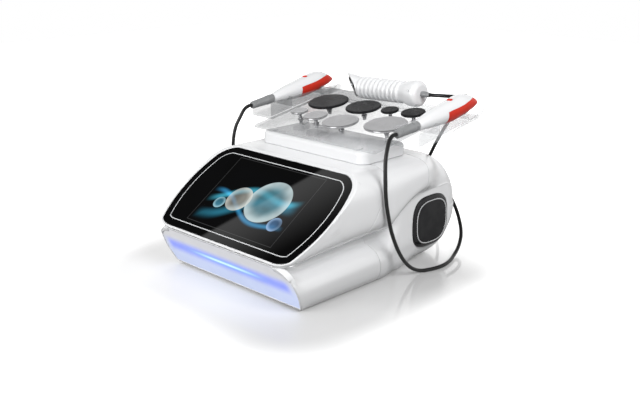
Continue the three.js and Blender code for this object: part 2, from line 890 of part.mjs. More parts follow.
// Mouldings of the housing, all cut from one form along their split lines
function buildHousing() {
  const outer = housingSolid(0);
  const hollow = housingSolid(body.wall);
  const belowPanel = panelPrism(panelOutline(panel.rim, true), -farReach, 0);
  const belowPanelWall = panelPrism(panelOutline(panel.rim - body.wall, true), -farReach, -panel.wall);
  const form = outer.subtract(hollow);
  const half = seamGap / 2;
  const lean = (splits.frontAtTop - splits.frontAtLip) / (body.topHeight - body.lipHeight);
  const leanAt = (z) => splits.frontAtLip + lean * (z - body.lipHeight);
  const high = body.topHeight + overrun;
  const lip = body.lipHeight;

  const lipLine = [
    [-farReach, front.topZ],
    [body.lipFrontY, front.topZ],
    [body.lipRearY, lip],
  ];
  const upperCut = toSolid(slabAcrossX([
    ...lipLine.slice(0, 2).map(([y, z]) => [y, z + half]),
    [leanAt(lip) - half, lipHeightAt(leanAt(lip)) + half],
    [leanAt(high) - half, high],
    [-farReach, high],
  ], -farReach, farReach));
  const upperRaw = outer.intersect(belowPanel).subtract(hollow.intersect(belowPanelWall));
  const glassSeat = panelPrism(panelOutline(seamGap), -panel.glass - panel.glassDrop, overrun);
  const window = panelPrism(panelOutline(-panel.shelf), -panel.wall - overrun, overrun);
  const upper = upperRaw.intersect(upperCut).subtract(glassSeat).subtract(window);
  add("upper_shell", upper, materials.whiteGloss);

  const creasePlaces = sectionPlaces.filter((y) => y > body.creaseStart && y < splits.rear);
  const creaseLine = creasePlaces.map((y) => [y, creaseHeight(y)]);
  const middleCut = toSolid(slabAcrossX([
    [leanAt(lip) + half, lipHeightAt(leanAt(lip)) + half],
    [body.lipRearY, lip + half],
    [body.creaseStart, lip + half],
    ...creaseLine.map(([y, z]) => [y, z + half]),
    [splits.rear - half, creaseHeight(splits.rear) + half],
    [splits.rear - half, high],
    [leanAt(high) + half, high],
  ], -farReach, farReach));
  add("middle_shell", form.intersect(middleCut), materials.whiteGloss);

  const frameMiddleY = (z) => frontFaceY(z) + front.frameDepth / Math.cos(frontTilt) / 2;
  const splitAt = (z) => mix(base.splitBottom, base.splitTop, z / lip);
  const behindFront = toSolid(slabAcrossX([
    [frameMiddleY(-overrun), -overrun],
    [splitAt(0) - half, -overrun],
    [splitAt(lip) - half, lip - half],
    [body.lipRearY, lip - half],
    [body.lipFrontY, front.topZ - half],
    [frameMiddleY(front.topZ - half), front.topZ - half],
  ], -farReach, farReach));
  const recesses = footPlaces().map(([x, y]) => toSolid(cylinderAlongZ(
    foot.radius + seatGap, x, y, -overrun, foot.height + seatGap, foot.segments,
  )));
  const [footFrontLeft, footRearLeft, footFrontRight, footRearRight] = recesses;
  const opening = frontPrism(front.frameWidth, -front.frameDepth - overrun, overrun);
  const underLip = toSolid(box(-farReach, farReach, -farReach, 0, -overrun, front.topZ - half));
  const frontRim = frontPrism(0, -front.frameDepth, 0).subtract(opening).intersect(underLip);
  const baseForm = form.intersect(behindFront).add(frontRim);
  add("base_shell", baseForm.subtract(footFrontLeft).subtract(footFrontRight), materials.whiteGloss);

  const rearCut = toSolid(slabAcrossX([
    [splitAt(0) + half, -overrun],
    [farReach, -overrun],
    [farReach, high],
    [splits.rear + half, high],
    [splits.rear + half, creaseHeight(splits.rear) - half],
    ...creaseLine.slice().reverse().map(([y, z]) => [y, z - half]),
    [body.creaseStart, lip - half],
    [splitAt(lip) + half, lip - half],
  ], -farReach, farReach));
  const tubHole = toSolid(box(
    -rear.halfWidth, rear.halfWidth, rear.plateY - overrun, farReach, rear.bottom, rear.top,
  ));
  const seats = [-1, 1].map((side) => capPrism(side, -cap.seat, cap.proud + overrun, seatGap));
  const pods = form.intersect(rearCut).subtract(tubHole).subtract(seats[0]).subtract(seats[1]);
  add("rear_shell", pods.subtract(footRearLeft).subtract(footRearRight), materials.whiteGloss);

  const faceBack = -front.panelInset - front.panelDepth;
  const face = frontPrism(front.frameWidth + seatGap, faceBack, -front.panelInset);
  add("front_panel", face, materials.frostedLight);
}

// Squircle outline of a pod cap, as a prism standing off the pod's flat side
function squircle(grow, share) {
  const points = [];
  for (let i = 0; i < cap.steps; i += 1) {
    const turn = (i / cap.steps) * Math.PI * 2;
    const c = Math.cos(turn);
    const s = Math.sin(turn);
    const a = Math.sign(c) * Math.abs(c) ** (2 / cap.power);
    const b = Math.sign(s) * Math.abs(s) ** (2 / cap.power);
    points.push([(cap.halfLength * share + grow) * a, (cap.halfHeight * share + grow) * b]);
  }
  return points;
}

function capRing(side, share, grow, out) {
  const x = side * (pod.half + out);
  return squircle(grow, share).map(([y, z]) => new THREE.Vector3(x, cap.centreY + y, cap.centreZ + z));
}

function capPrism(side, from, to, grow) {
  const rings = [capRing(side, 1, grow, from), capRing(side, 1, grow, to)];
  return toSolid(loft(rings, (point) => new THREE.Vector2(point.y, point.z)));
}

function buildPodCaps() {
  for (const [name, side] of [["left", -1], ["right", 1]]) {
    const bodyRings = [
      capRing(side, 1, 0, -cap.seat + seatGap),
      capRing(side, 1, 0, cap.rim),
      capRing(side, cap.shoulderShare, 0, cap.proud * cap.shoulderRiseShare),
      capRing(side, cap.faceShare, 0, cap.proud),
    ];
    const dome = toSolid(loft(bodyRings, (point) => new THREE.Vector2(point.y, point.z)));
    const band = (grow, from, to) => {
      const rings = [capRing(side, cap.ringShare, grow, from), capRing(side, cap.ringShare, grow, to)];
      return toSolid(loft(rings, (point) => new THREE.Vector2(point.y, point.z)));
    };
    const top = cap.proud + cap.ringProud;
    const bottom = cap.proud - cap.ringDepth;
    const groove = band(seatGap, bottom - seatGap, top + overrun)
      .subtract(band(-cap.ringWidth - seatGap, bottom - overrun, top + overrun));
    const ring = band(0, bottom, top).subtract(band(-cap.ringWidth, bottom - overrun, top + overrun));
    add(`${name}_pod_cap`, dome.subtract(groove), materials.blackGloss);
    add(`${name}_pod_ring`, ring, materials.silver);
  }
}

// Touch glass, display module and its board, stacked behind the window
function buildDisplay() {
  const glassTop = -panel.glassDrop;
  const glass = panelPrism(panelOutline(0), glassTop - panel.glass, glassTop);
  add("screen_glass", glass, materials.blackGlass);
  const moduleTop = glassTop - panel.glass - seatGap;
  const moduleBottom = moduleTop - display.depth;
  const module = panelBox(display.halfWidth, display.bottom, display.top, moduleBottom, moduleTop);
  add("display_module", module, materials.blackPlastic);
  const boardTop = moduleBottom - display.boardGap;
  const board = panelBox(
    display.halfWidth - display.boardInset,
    display.bottom + display.boardInset,
    display.top - display.boardInset,
    boardTop - display.board,
    boardTop,
  );
  add("main_board", board, materials.greenBoard);
}

// Light strip behind the frosted front panel
function buildLight() {
  const back = -front.panelInset - front.panelDepth - seatGap;
  const low = light.centreHeight - light.height / 2;
  const guide = box(-light.halfLength, light.halfLength, low, low + light.height, back - light.depth, back);
  guide.applyMatrix4(frontFrame);
  add("light_bar", guide, materials.lightGuide);
}

function buildInside() {
  const deck = body.floorGap + body.wall + inside.gap;
  add("power_supply", box(
    supply.centreX - supply.length / 2, supply.centreX + supply.length / 2,
    supply.centreY - supply.width / 2, supply.centreY + supply.width / 2,
    deck, deck + supply.height,
  ), materials.zincSheet);

  const sinkTop = deck + sink.height;
  let fins = toSolid(box(
    sink.centreX - sink.width / 2, sink.centreX + sink.width / 2,
    sink.centreY - sink.length / 2, sink.centreY + sink.length / 2,
    sinkTop - sink.plate, sinkTop,
  ));
  const pitch = (sink.width - sink.finThick) / (sink.fins - 1);
  for (let i = 0; i < sink.fins; i += 1) {
    const x = sink.centreX - sink.width / 2 + i * pitch;
    fins = fins.add(toSolid(box(
      x, x + sink.finThick,
      sink.centreY - sink.length / 2, sink.centreY + sink.length / 2,
      deck, sinkTop,
    )));
  }
  add("heat_sink", fins, materials.aluminium);
  const boardBottom = sinkTop + inside.gap;
  add("rf_board", box(
    sink.centreX - rfBoard.width / 2, sink.centreX + rfBoard.width / 2,
    sink.centreY - rfBoard.length / 2, sink.centreY + rfBoard.length / 2,
    boardBottom, boardBottom + rfBoard.thickness,
  ), materials.greenBoard);
}

function buildFeet() {
  const names = ["foot_front_left", "foot_rear_left", "foot_front_right", "foot_rear_right"];
  footPlaces().forEach(([x, y], i) => {
    const profile = [
      new THREE.Vector2(0, 0),
      new THREE.Vector2(foot.radius - foot.chamfer, 0),
      new THREE.Vector2(foot.radius, foot.chamfer),
      new THREE.Vector2(foot.radius, foot.height),
      new THREE.Vector2(0, foot.height),
    ];
    const turned = new THREE.LatheGeometry(profile, foot.segments);
    turned.rotateX(Math.PI / 2);
    turned.translate(x, y, 0);
    add(names[i], turned, materials.blackRubber);
  });
}

// Connector tub at the back, with its sockets, power inlet, fan and screws
function buildRearPanel() {
  const inside = housingSolid(0);
  const gap = seatGap;
  const tubOuter = toSolid(box(
    -rear.halfWidth + gap, rear.halfWidth - gap, rear.plateY, farReach, rear.bottom + gap, rear.top - gap,
  ));
  const edge = rear.wall + gap;
  const tubInner = toSolid(box(
    -rear.halfWidth + edge, rear.halfWidth - edge, rear.plateY + rear.plate, farReach, rear.bottom + edge,
    rear.top - edge,
  ));
  let tub = tubOuter.intersect(inside).subtract(tubInner);
  const faceY = rear.plateY + rear.plate;

  const socketPlaces = Object.values(leadSocket.places);
  for (const x of socketPlaces) {
    tub = tub.subtract(toSolid(cylinderAlongY(
      leadSocket.radius - leadSocket.proud + gap, x, rear.socketZ, rear.plateY - overrun, faceY + overrun,
      leadSocket.sides,
    )));
  }
  tub = tub.subtract(toSolid(box(
    inlet.centreX - inlet.bodyHalfWidth - gap, inlet.centreX + inlet.bodyHalfWidth + gap,
    rear.plateY - overrun, faceY + overrun,
    inlet.centreZ - inlet.bodyHalfHeight - gap, inlet.centreZ + inlet.bodyHalfHeight + gap,
  )));
  const slotPitch = fan.grilleReach / fan.grilleSlots;
  for (let i = 0; i < fan.grilleSlots; i += 1) {
    const reach = fan.grilleReach / 2;
    const z = fan.centreZ - reach + slotPitch / 2 + slotPitch * i;
    tub = tub.subtract(toSolid(box(
      fan.centreX - reach, fan.centreX + reach,
      rear.plateY - overrun, faceY + overrun, z - fan.grilleSlot / 2, z + fan.grilleSlot / 2,
    )));
  }

  add("rear_panel", tub, materials.blackPlastic);
}

// One lead jack: a neck through the panel, with its flange outside and a bore for the plug
function jackSolid(x) {
  const faceY = rear.plateY + rear.plate + seatGap;
  const neck = leadSocket.radius - leadSocket.proud;
  const sides = leadSocket.sides;
  const back = rear.plateY - leadSocket.behind;
  const through = toSolid(cylinderAlongY(neck, x, rear.socketZ, back, faceY, sides));
  const flange = cylinderAlongY(leadSocket.radius, x, rear.socketZ, faceY, faceY + leadSocket.proud, sides);
  return through.add(toSolid(flange));
}

function buildSockets() {
  const faceY = rear.plateY + rear.plate + seatGap;
  const { left, grip: middle, right } = leadSocket.places;
  const bore = (x) => toSolid(cylinderAlongY(
    leadSocket.bore, x, rear.socketZ, rear.plateY, faceY + overrun, leadSocket.sides,
  ));
  add("left_lead_socket", jackSolid(left).subtract(bore(left)), materials.blackGloss);
  const bridge = toSolid(box(
    middle, right, faceY, faceY + leadSocket.proud,
    rear.socketZ - leadSocket.radius / 2, rear.socketZ + leadSocket.radius / 2,
  ));
  const twin = jackSolid(middle).add(jackSolid(right)).add(bridge);
  add("twin_lead_socket", twin.subtract(bore(middle)).subtract(bore(right)), materials.blackGloss);
}

function buildInlet() {
  const gap = seatGap;
  const faceY = rear.plateY + rear.plate + gap;
  const outerY = faceY + inlet.flange;
  const x = inlet.centreX;
  const z = inlet.centreZ;
  let block = toSolid(box(
    x - inlet.bodyHalfWidth, x + inlet.bodyHalfWidth, faceY - inlet.depth, faceY,
    z - inlet.bodyHalfHeight, z + inlet.bodyHalfHeight,
  ));
  block = block.add(toSolid(box(
    x - inlet.halfWidth, x + inlet.halfWidth, faceY, outerY, z - inlet.halfHeight, z + inlet.halfHeight,
  )));
  const cavityZ = z + inlet.cavityCentre;
  const cavityBack = outerY - inlet.cavityDepth;
  block = block.subtract(toSolid(box(
    x - inlet.cavityHalfWidth, x + inlet.cavityHalfWidth, cavityBack, outerY + overrun,
    cavityZ - inlet.cavityHeight / 2, cavityZ + inlet.cavityHeight / 2,
  )));
  for (const [across, drop] of [[-1, 1], [0, -1], [1, 1]]) {
    const pinX = x + across * inlet.pinSpread;
    const pinZ = cavityZ - drop * inlet.pinDrop;
    block = block.add(toSolid(box(
      pinX - inlet.pinHalfWidth, pinX + inlet.pinHalfWidth, cavityBack - gap, cavityBack + inlet.pinLength,
      pinZ - inlet.pinHalfHeight, pinZ + inlet.pinHalfHeight,
    )));
  }
  const rockerZ = z + inlet.rockerCentre;
  block = block.subtract(toSolid(box(
    x - inlet.rockerHalfWidth - inlet.rockerGap, x + inlet.rockerHalfWidth + inlet.rockerGap,
    outerY - inlet.rockerPocket, outerY + overrun,
    rockerZ - inlet.rockerHalfHeight - inlet.rockerGap, rockerZ + inlet.rockerHalfHeight + inlet.rockerGap,
  )));
  const drawerZ = z + inlet.drawerCentre;
  block = block.subtract(toSolid(box(
    x - inlet.drawerHalfWidth - inlet.drawerGap, x + inlet.drawerHalfWidth + inlet.drawerGap,
    outerY - inlet.drawerDepth - inlet.drawerGap, outerY + overrun,
    drawerZ - inlet.drawerHalfHeight - inlet.drawerGap, drawerZ + inlet.drawerHalfHeight + inlet.drawerGap,
  )));
  add("inlet_body", block, materials.blackPlastic);

  const pivotY = outerY - inlet.rockerDepth / 2;
  const rockerBack = -inlet.rockerDepth / 2;
  const rockerFace = inlet.rockerDepth / 2 + inlet.rockerProud;
  const rockerDish = inlet.rockerDepth / 2 + inlet.rockerProud * inlet.rockerDishShare;
  const backHalf = inlet.rockerHalfHeight * inlet.rockerBackShare;
  const faceHalf = inlet.rockerHalfHeight * inlet.rockerFaceShare;
  const rocker = slabAcrossX([
    [rockerBack, -backHalf],
    [rockerFace, -faceHalf],
    [rockerDish, 0],
    [rockerFace, faceHalf],
    [rockerBack, backHalf],
  ], -inlet.rockerHalfWidth, inlet.rockerHalfWidth);
  rocker.rotateX(inlet.rockerTilt);
  rocker.translate(x, pivotY, rockerZ);
  add("power_rocker", rocker, materials.blackGloss);

  add("fuse_drawer", box(
    x - inlet.drawerHalfWidth, x + inlet.drawerHalfWidth,
    outerY - inlet.drawerDepth, outerY + inlet.drawerProud,
    drawerZ - inlet.drawerHalfHeight, drawerZ + inlet.drawerHalfHeight,
  ), materials.blackPlastic);
}

function buildFan() {
  const back = rear.plateY - seatGap;
  const x = fan.centreX;
  const z = fan.centreZ;
  let frame = toSolid(box(x - fan.half, x + fan.half, back - fan.depth, back, z - fan.half, z + fan.half));
  frame = frame.subtract(toSolid(cylinderAlongY(
    fan.bore, x, z, back - fan.depth - overrun, back + overrun, fan.boreSides,
  )));
  const spokeY = back - fan.depth;
  const spokeReach = (fan.half + fan.bore) / 2;
  for (let i = 0; i < fan.spokes / 2; i += 1) {
    const spoke = box(-spokeReach, spokeReach, 0, fan.spokeDepth, -fan.spokeWidth / 2, fan.spokeWidth / 2);
    spoke.rotateY((i * Math.PI * 2) / fan.spokes);
    spoke.translate(x, spokeY, z);
    frame = frame.add(toSolid(spoke));
  }
  const hubSeat = cylinderAlongY(fan.hub, x, z, spokeY, spokeY + fan.spokeDepth);
  frame = frame.add(toSolid(hubSeat));
  add("fan_frame", frame, materials.blackPlastic);

  const hubStart = spokeY + fan.spokeDepth + fan.runningGap;
  let rotor = toSolid(cylinderAlongY(fan.hub, x, z, hubStart, hubStart + fan.hubLength));
  for (let i = 0; i < fan.blades; i += 1) {
    const blade = box(
      fan.hub - fan.bladeRoot, fan.bladeReach, -fan.bladeLength / 2, fan.bladeLength / 2,
      -fan.bladeThick / 2, fan.bladeThick / 2,
    );
    blade.rotateX(fan.bladePitch);
    blade.rotateY((i * Math.PI * 2) / fan.blades);
    blade.translate(x, hubStart + fan.hubLength / 2, z);
    rotor = rotor.add(toSolid(blade));
  }
  add("fan_rotor", rotor, materials.blackPlastic);
}

// Plinth and tray

function deckTopAt(y) {
  return plinthTop + tray.deckFrontRise + (y - tray.deckFront) * Math.tan(tray.slope);
}

function buildPlinth() {
  const bottom = body.topHeight + seatGap;
  const shape = new THREE.Shape();
  const r = plinth.edgeRadius;
  shape.moveTo(plinth.frontY, bottom);
  shape.lineTo(plinth.rearY, bottom);
  shape.lineTo(plinth.rearY, plinthTop - r);
  shape.absarc(plinth.rearY - r, plinthTop - r, r, 0, Math.PI / 2);
  shape.lineTo(plinth.frontY + r, plinthTop);
  shape.absarc(plinth.frontY + r, plinthTop - r, r, Math.PI / 2, Math.PI);
  const profile = shape.getPoints(4).map((point) => [point.x, point.y]);
  const side = toSolid(slabAcrossX(profile, -plinth.halfWidth, plinth.halfWidth));
  const outline = roundedRectangle(plinth.halfWidth, plinth.frontY, plinth.rearY, plinth.cornerRadius);
  const plan = extrudeFlat(outline, plinth.height + overrun);
  plan.translate(0, 0, bottom - overrun / 2);
  add("tray_plinth", side.intersect(toSolid(plan)), materials.whiteGloss);
}

function buildTray() {
  const rise = Math.tan(tray.slope);
  const span = (side, from, to) => (side > 0 ? [from, to] : [-to, -from]);
  let deck = toSolid(slabAcrossX([
    [tray.deckFront, deckTopAt(tray.deckFront) - tray.deckThick],
    [tray.deckRear, deckTopAt(tray.deckRear) - tray.deckThick],
    [tray.deckRear, deckTopAt(tray.deckRear)],
    [tray.deckFront, deckTopAt(tray.deckFront)],
  ], -deckHalf, deckHalf));
  const legX = plinth.halfWidth - tray.legInset;
  for (const from of [tray.deckFront, plinth.rearY - tray.legLength * 2]) {
    const to = from + tray.legLength;
    for (const side of [-1, 1]) {
      deck = deck.add(toSolid(slabAcrossX([
        [from, plinthTop + seatGap],
        [to, plinthTop + seatGap],
        [to, deckTopAt(to) - tray.deckThick / 2],
        [from, deckTopAt(from) - tray.deckThick / 2],
      ], side * legX - tray.legWidth / 2, side * legX + tray.legWidth / 2)));
    }
  }
  for (const { x, y } of blackElectrodes.concat(steelElectrodes)) {
    const hole = cylinderAlongZ(
      electrode.pinRadius + electrode.pinGap, 0, 0, -overrun, overrun, electrode.holeSides,
    );
    hole.rotateX(tray.slope);
    hole.translate(x, y, deckTopAt(y));
    deck = deck.subtract(toSolid(hole));
  }
  add("tray_deck", deck, materials.clearAcrylic);

  const bottomAt = (y) => plinthTop + cradle.frontBottomRise + (y - cradle.frontY) * rise;
  const floorEnd = cradle.rearY - cradle.rearDrop;
  const outerProfile = [
    [cradle.frontY, bottomAt(cradle.frontY)],
    [floorEnd, bottomAt(floorEnd)],
    [cradle.rearY, bottomAt(cradle.rearY)],
    [cradle.rearY, plinthTop + cradle.rearTopRise],
    [cradle.frontY, plinthTop + cradle.frontTopRise],
  ];
  const innerProfile = [
    ...outerProfile.slice(0, -1),
    [cradle.frontY, plinthTop + cradle.innerFrontTopRise],
  ];
  const floorProfile = [
    [cradle.frontY, bottomAt(cradle.frontY)],
    [floorEnd, bottomAt(floorEnd)],
    [floorEnd, bottomAt(floorEnd) + cradle.floor],
    [cradle.frontY, bottomAt(cradle.frontY) + cradle.floor],
  ];
  for (const [name, side] of [["left", -1], ["right", 1]]) {
    const across = span(side, cradle.inner, cradle.outer);
    const outerWall = slabAcrossX(outerProfile, ...span(side, cradle.outer - cradle.wall, cradle.outer));
    const innerWall = slabAcrossX(innerProfile, ...span(side, cradle.inner, cradle.inner + cradle.wall));
    const floor = slabAcrossX(floorProfile, ...across);
    let trough = toSolid(outerWall).add(toSolid(innerWall)).add(toSolid(floor));
    for (const from of cradle.saddlePlaces) {
      const to = from + cradle.saddleThick;
      trough = trough.add(toSolid(box(
        ...across, from, to, bottomAt(from) + cradle.floor / 2, handBottomAt(from) + cradle.saddleRise,
      )));
    }
    const seat = handSolid(seatGap).translate([side * hand.axisX, 0, 0]);
    add(`${name}_cradle`, trough.subtract(seat), materials.clearAcrylic);
  }

  const front = tray.deckRear + seatGap;
  const back = front + rest.depth;
  const bottom = deckTopAt(front) - tray.deckThick;
  const channel = toSolid(slabAcrossX([
    [front, bottom],
    [back, bottom],
    [back, plinthTop + rest.rearTopRise],
    [back - rest.wall, plinthTop + rest.rearTopRise],
    [back - rest.wall, bottom + rest.floor],
    [front + rest.wall, bottom + rest.floor],
    [front + rest.wall, plinthTop + rest.topRise],
    [front, plinthTop + rest.topRise],
  ], -deckHalf, deckHalf));
  add("grip_rest", channel.subtract(gripClearance()), materials.clearAcrylic);
}

function buildElectrodes() {
  const kinds = [
    [blackElectrodes, electrode.blackThick, materials.darkCoating],
    [steelElectrodes, electrode.steelThick, materials.polishedSteel],
  ];
  for (const [places, thick, material] of kinds) {
    for (const { name, radius, x, y } of places) {
      const top = electrode.stemRise + thick;
      const e = electrode.edge;
      const profile = [
        new THREE.Vector2(0, -electrode.pinLength),
        new THREE.Vector2(electrode.pinRadius, -electrode.pinLength),
        new THREE.Vector2(electrode.pinRadius, seatGap),
        new THREE.Vector2(electrode.stemRadius, seatGap),
        new THREE.Vector2(electrode.stemRadius, electrode.stemRise),
        new THREE.Vector2(radius, electrode.stemRise),
        new THREE.Vector2(radius, top - e),
        new THREE.Vector2(radius - e, top),
        new THREE.Vector2(0, top),
      ];
      const turned = new THREE.LatheGeometry(profile, electrode.segments);
      turned.rotateX(Math.PI / 2);
      turned.rotateX(tray.slope);
      turned.translate(x, y, deckTopAt(y));
      add(name, turned, material);
    }
  }
}

// Handpieces
function handRing(y, middle, rise, half, grow = 0) {
  const ring = [];
  for (let i = 0; i < hand.sides; i += 1) {
    const turn = (i / hand.sides) * Math.PI * 2;
    const z = plinthTop + middle + (rise + grow) * Math.sin(turn);
    ring.push(new THREE.Vector3((half + grow) * Math.cos(turn), y, z));
  }
  return ring;
}

function handSolid(grow) {
  const rings = handStations.map(({ y, middle, rise, half }) => handRing(y, middle, rise, half, grow));
  const last = handStations[handStations.length - 1];
  const tipY = hand.collarEnd + hand.length + hand.tipReach;
  rings.push(handRing(tipY + grow, last.middle, hand.tipRise, hand.tipHalf, grow));
  return toSolid(loft(rings, (point) => new THREE.Vector2(point.x, point.z)));
}

function collarSolid() {
  const first = handStations[0];
  const round = hand.collarRadiusStart;
  const rings = [
    handRing(hand.collarStart, hand.collarCentreRise, round, round),
    handRing(hand.collarEnd - seatGap, first.middle, first.rise, first.half),
  ];
  return toSolid(loft(rings, (point) => new THREE.Vector2(point.x, point.z)));
}

// Height of the handpiece's surface over or under its middle line
function handEdgeAt(y, up) {
  const next = handStations.findIndex((station) => y <= station.y);
  const a = handStations[Math.max(0, next - 1)];
  const b = handStations[next];
  const share = b.y > a.y ? (y - a.y) / (b.y - a.y) : 0;
  return plinthTop + mix(a.middle + up * a.rise, b.middle + up * b.rise, share);
}

function handTopAt(y) {
  return handEdgeAt(y, 1);
}

function handBottomAt(y) {
  return handEdgeAt(y, -1);
}

function buildHandpieces() {
  const last = bumperEdge[bumperEdge.length - 1];
  const high = plinthTop + last.z + overrun;
  const regionFrom = (shift) => toSolid(slabAcrossX([
    [bumperEdge[0].y + shift, 0],
    [farReach, 0],
    [farReach, high],
    [last.y + shift, high],
    ...bumperEdge.map(({ y, z }) => [y + shift, plinthTop + z - shift]).reverse(),
  ], -farReach, farReach));
  const round = hand.roundSides;
  const form = handSolid(0);
  const buttonY = hand.collarEnd + hand.buttonShare * hand.length;
  const lampY = hand.collarEnd + hand.lampShare * hand.length;
  const buttonTop = handTopAt(buttonY) + hand.buttonProud;
  const buttonBottom = buttonTop - hand.buttonDepth;
  const pocket = toSolid(cylinderAlongZ(
    hand.buttonRadius + hand.buttonGap, 0, buttonY,
    buttonBottom - hand.buttonTravel - hand.buttonFloorGap, buttonTop + overrun, round,
  ));
  const lampTop = handTopAt(lampY) + hand.lampProud;
  const lampBottom = lampTop - hand.lampDepth;
  const lampSeat = toSolid(cylinderAlongZ(
    hand.lampRadius + seatGap, 0, lampY, lampBottom - seatGap, lampTop + overrun, round,
  ));
  const shell = form.subtract(regionFrom(-hand.splitGap)).subtract(pocket).subtract(lampSeat);
  const bumper = form.intersect(regionFrom(0)).subtract(lampSeat);
  const button = cylinderAlongZ(hand.buttonRadius, 0, buttonY, buttonBottom, buttonTop, round);
  const lamp = cylinderAlongZ(hand.lampRadius, 0, lampY, lampBottom, lampTop, round);
  const collar = collarSolid();
  for (const [name, side] of [["left", -1], ["right", 1]]) {
    const place = new THREE.Group();
    place.position.x = side * hand.axisX;
    machine.add(place);
    add(`${name}_hand_shell`, shell, materials.whiteGloss, place);
    add(`${name}_hand_bumper`, bumper, materials.redRubber, place);
    add(`${name}_hand_button`, button, materials.redRubber, place);
    add(`${name}_hand_lamp`, lamp, materials.blackGloss, place);
    add(`${name}_hand_collar`, collar, materials.greyPlastic, place);
  }
}

// Ribbed grip: turned about its own axis, which lies along X, with an oblique head at its left end
function gripProfile(grow) {
  const start = grip.neckX - grip.neckOverlap;
  const points = [new THREE.Vector2(0, start)];
  const push = (radius, x) => points.push(new THREE.Vector2(radius + grow, x));
  push(grip.neckRadius - grip.neckOverlap, start);
  push(grip.neckRadius, grip.neckX);
  const pitch = (grip.ribEnd - grip.ribStart) / grip.ribs;
  for (let i = 0; i < grip.ribs; i += 1) {
    const ribFrom = grip.ribStart + i * pitch;
    push(grip.radius - grip.ribRise, ribFrom);
    push(grip.radius, ribFrom + pitch / 2);
  }
  push(grip.radius - grip.ribRise, grip.ribEnd);
  push(grip.tailRadius, mix(grip.ribEnd, grip.rightEnd, grip.tailStartShare));
  push(grip.tailRadius, grip.rightEnd - grip.tailChamfer);
  push(grip.tailRadius - grip.tailChamfer, grip.rightEnd + grow);
  points.push(new THREE.Vector2(0, grip.rightEnd + grow));
  return points;
}

// Moves a shape made about the X axis to the grip's own axis
function settleGrip(geometry) {
  geometry.rotateY(grip.slope);
  geometry.translate(0, grip.centreY, plinthTop + grip.centreRise);
  return geometry;
}

function placeGrip(geometry) {
  geometry.rotateZ(-Math.PI / 2);
  return settleGrip(geometry);
}

// Direction that the head's plate faces: left, forwards and a little down
function headFacing() {
  const level = Math.cos(grip.headDip);
  return new THREE.Vector3(
    -level * Math.cos(grip.headTurn), -level * Math.sin(grip.headTurn), -Math.sin(grip.headDip),
  );
}

function ringFacing(centre, facing, radius) {
  const up = new THREE.Vector3(0, 0, 1).projectOnPlane(facing).normalize();
  const across = new THREE.Vector3().crossVectors(facing, up);
  const ring = [];
  for (let i = 0; i < grip.segments; i += 1) {
    const turn = (i / grip.segments) * Math.PI * 2;
    const point = centre.clone().addScaledVector(up, radius * Math.cos(turn));
    ring.push(point.addScaledVector(across, radius * Math.sin(turn)));
  }
  return ring;
}

// Head of the grip, from its oblique rim to the neck; reach moves the rim outwards
function headSolid(grow, reach) {
  const facing = headFacing();
  const rim = new THREE.Vector3(grip.headX, 0, grip.headRise).addScaledVector(facing, reach);
  const neck = new THREE.Vector3(grip.neckX, 0, 0);
  const rings = [
    ringFacing(rim, facing, grip.headRadius + grow),
    ringFacing(neck, new THREE.Vector3(-1, 0, 0), grip.neckRadius + grow),
  ];
  return toSolid(settleGrip(loft(rings, (point) => new THREE.Vector2(point.y, point.z))));
}

function plateSolid() {
  const facing = headFacing();
  const down = new THREE.Vector3(0, 0, -1).projectOnPlane(facing).normalize();
  const seat = new THREE.Vector3(grip.headX, 0, grip.headRise).addScaledVector(down, grip.plateDrop);
  const rings = [grip.plateGap, grip.plateGap + grip.plateThick].map((out) => (
    ringFacing(seat.clone().addScaledVector(facing, out), facing, grip.plateRadius)
  ));
  return toSolid(settleGrip(loft(rings, (point) => new THREE.Vector2(point.y, point.z))));
}

function gripSolid(grow, reach) {
  const body = toSolid(placeGrip(new THREE.LatheGeometry(gripProfile(grow), grip.segments)));
  return body.add(headSolid(grow, reach));
}

// The grip and its plate with a clearance, for the seats in the rest
function gripClearance() {
  const radius = grip.radius + seatGap;
  const plain = new THREE.CylinderGeometry(radius, radius, grip.rightEnd - grip.neckX, grip.segments);
  plain.translate(0, (grip.neckX + grip.rightEnd) / 2, 0);
  const plateReach = grip.plateGap + grip.plateThick + seatGap;
  return toSolid(placeGrip(plain)).add(gripSolid(seatGap, seatGap)).add(headSolid(seatGap, plateReach));
}

function buildGrip() {
  add("grip_shell", gripSolid(0, 0), materials.whiteGloss);
  add("grip_plate", plateSolid(), materials.blackGloss);
  const collar = new THREE.CylinderGeometry(
    grip.collarTip, grip.collarRadius, grip.collarLength, grip.segments,
  );
  collar.translate(0, grip.rightEnd + seatGap + grip.collarLength / 2, 0);
  placeGrip(collar);
  add("grip_collar", collar, materials.greyPlastic);
}

// Leads and their plugs
function leadTube(points) {
  const route = points.map((point) => new THREE.Vector3(...point));
  const curve = new THREE.CatmullRomCurve3(route, false, "centripetal");
  const corners = Array.from({ length: lead.sides }, (_, i) => {
    const turn = (i / lead.sides) * Math.PI * 2;
    return new THREE.Vector2(lead.radius * Math.cos(turn), lead.radius * Math.sin(turn));
  });
  const steps = Math.round(curve.getLength() / lead.step);
  return new THREE.ExtrudeGeometry(new THREE.Shape(corners), {
    steps,
    extrudePath: curve,
    bevelEnabled: false,
  });
}

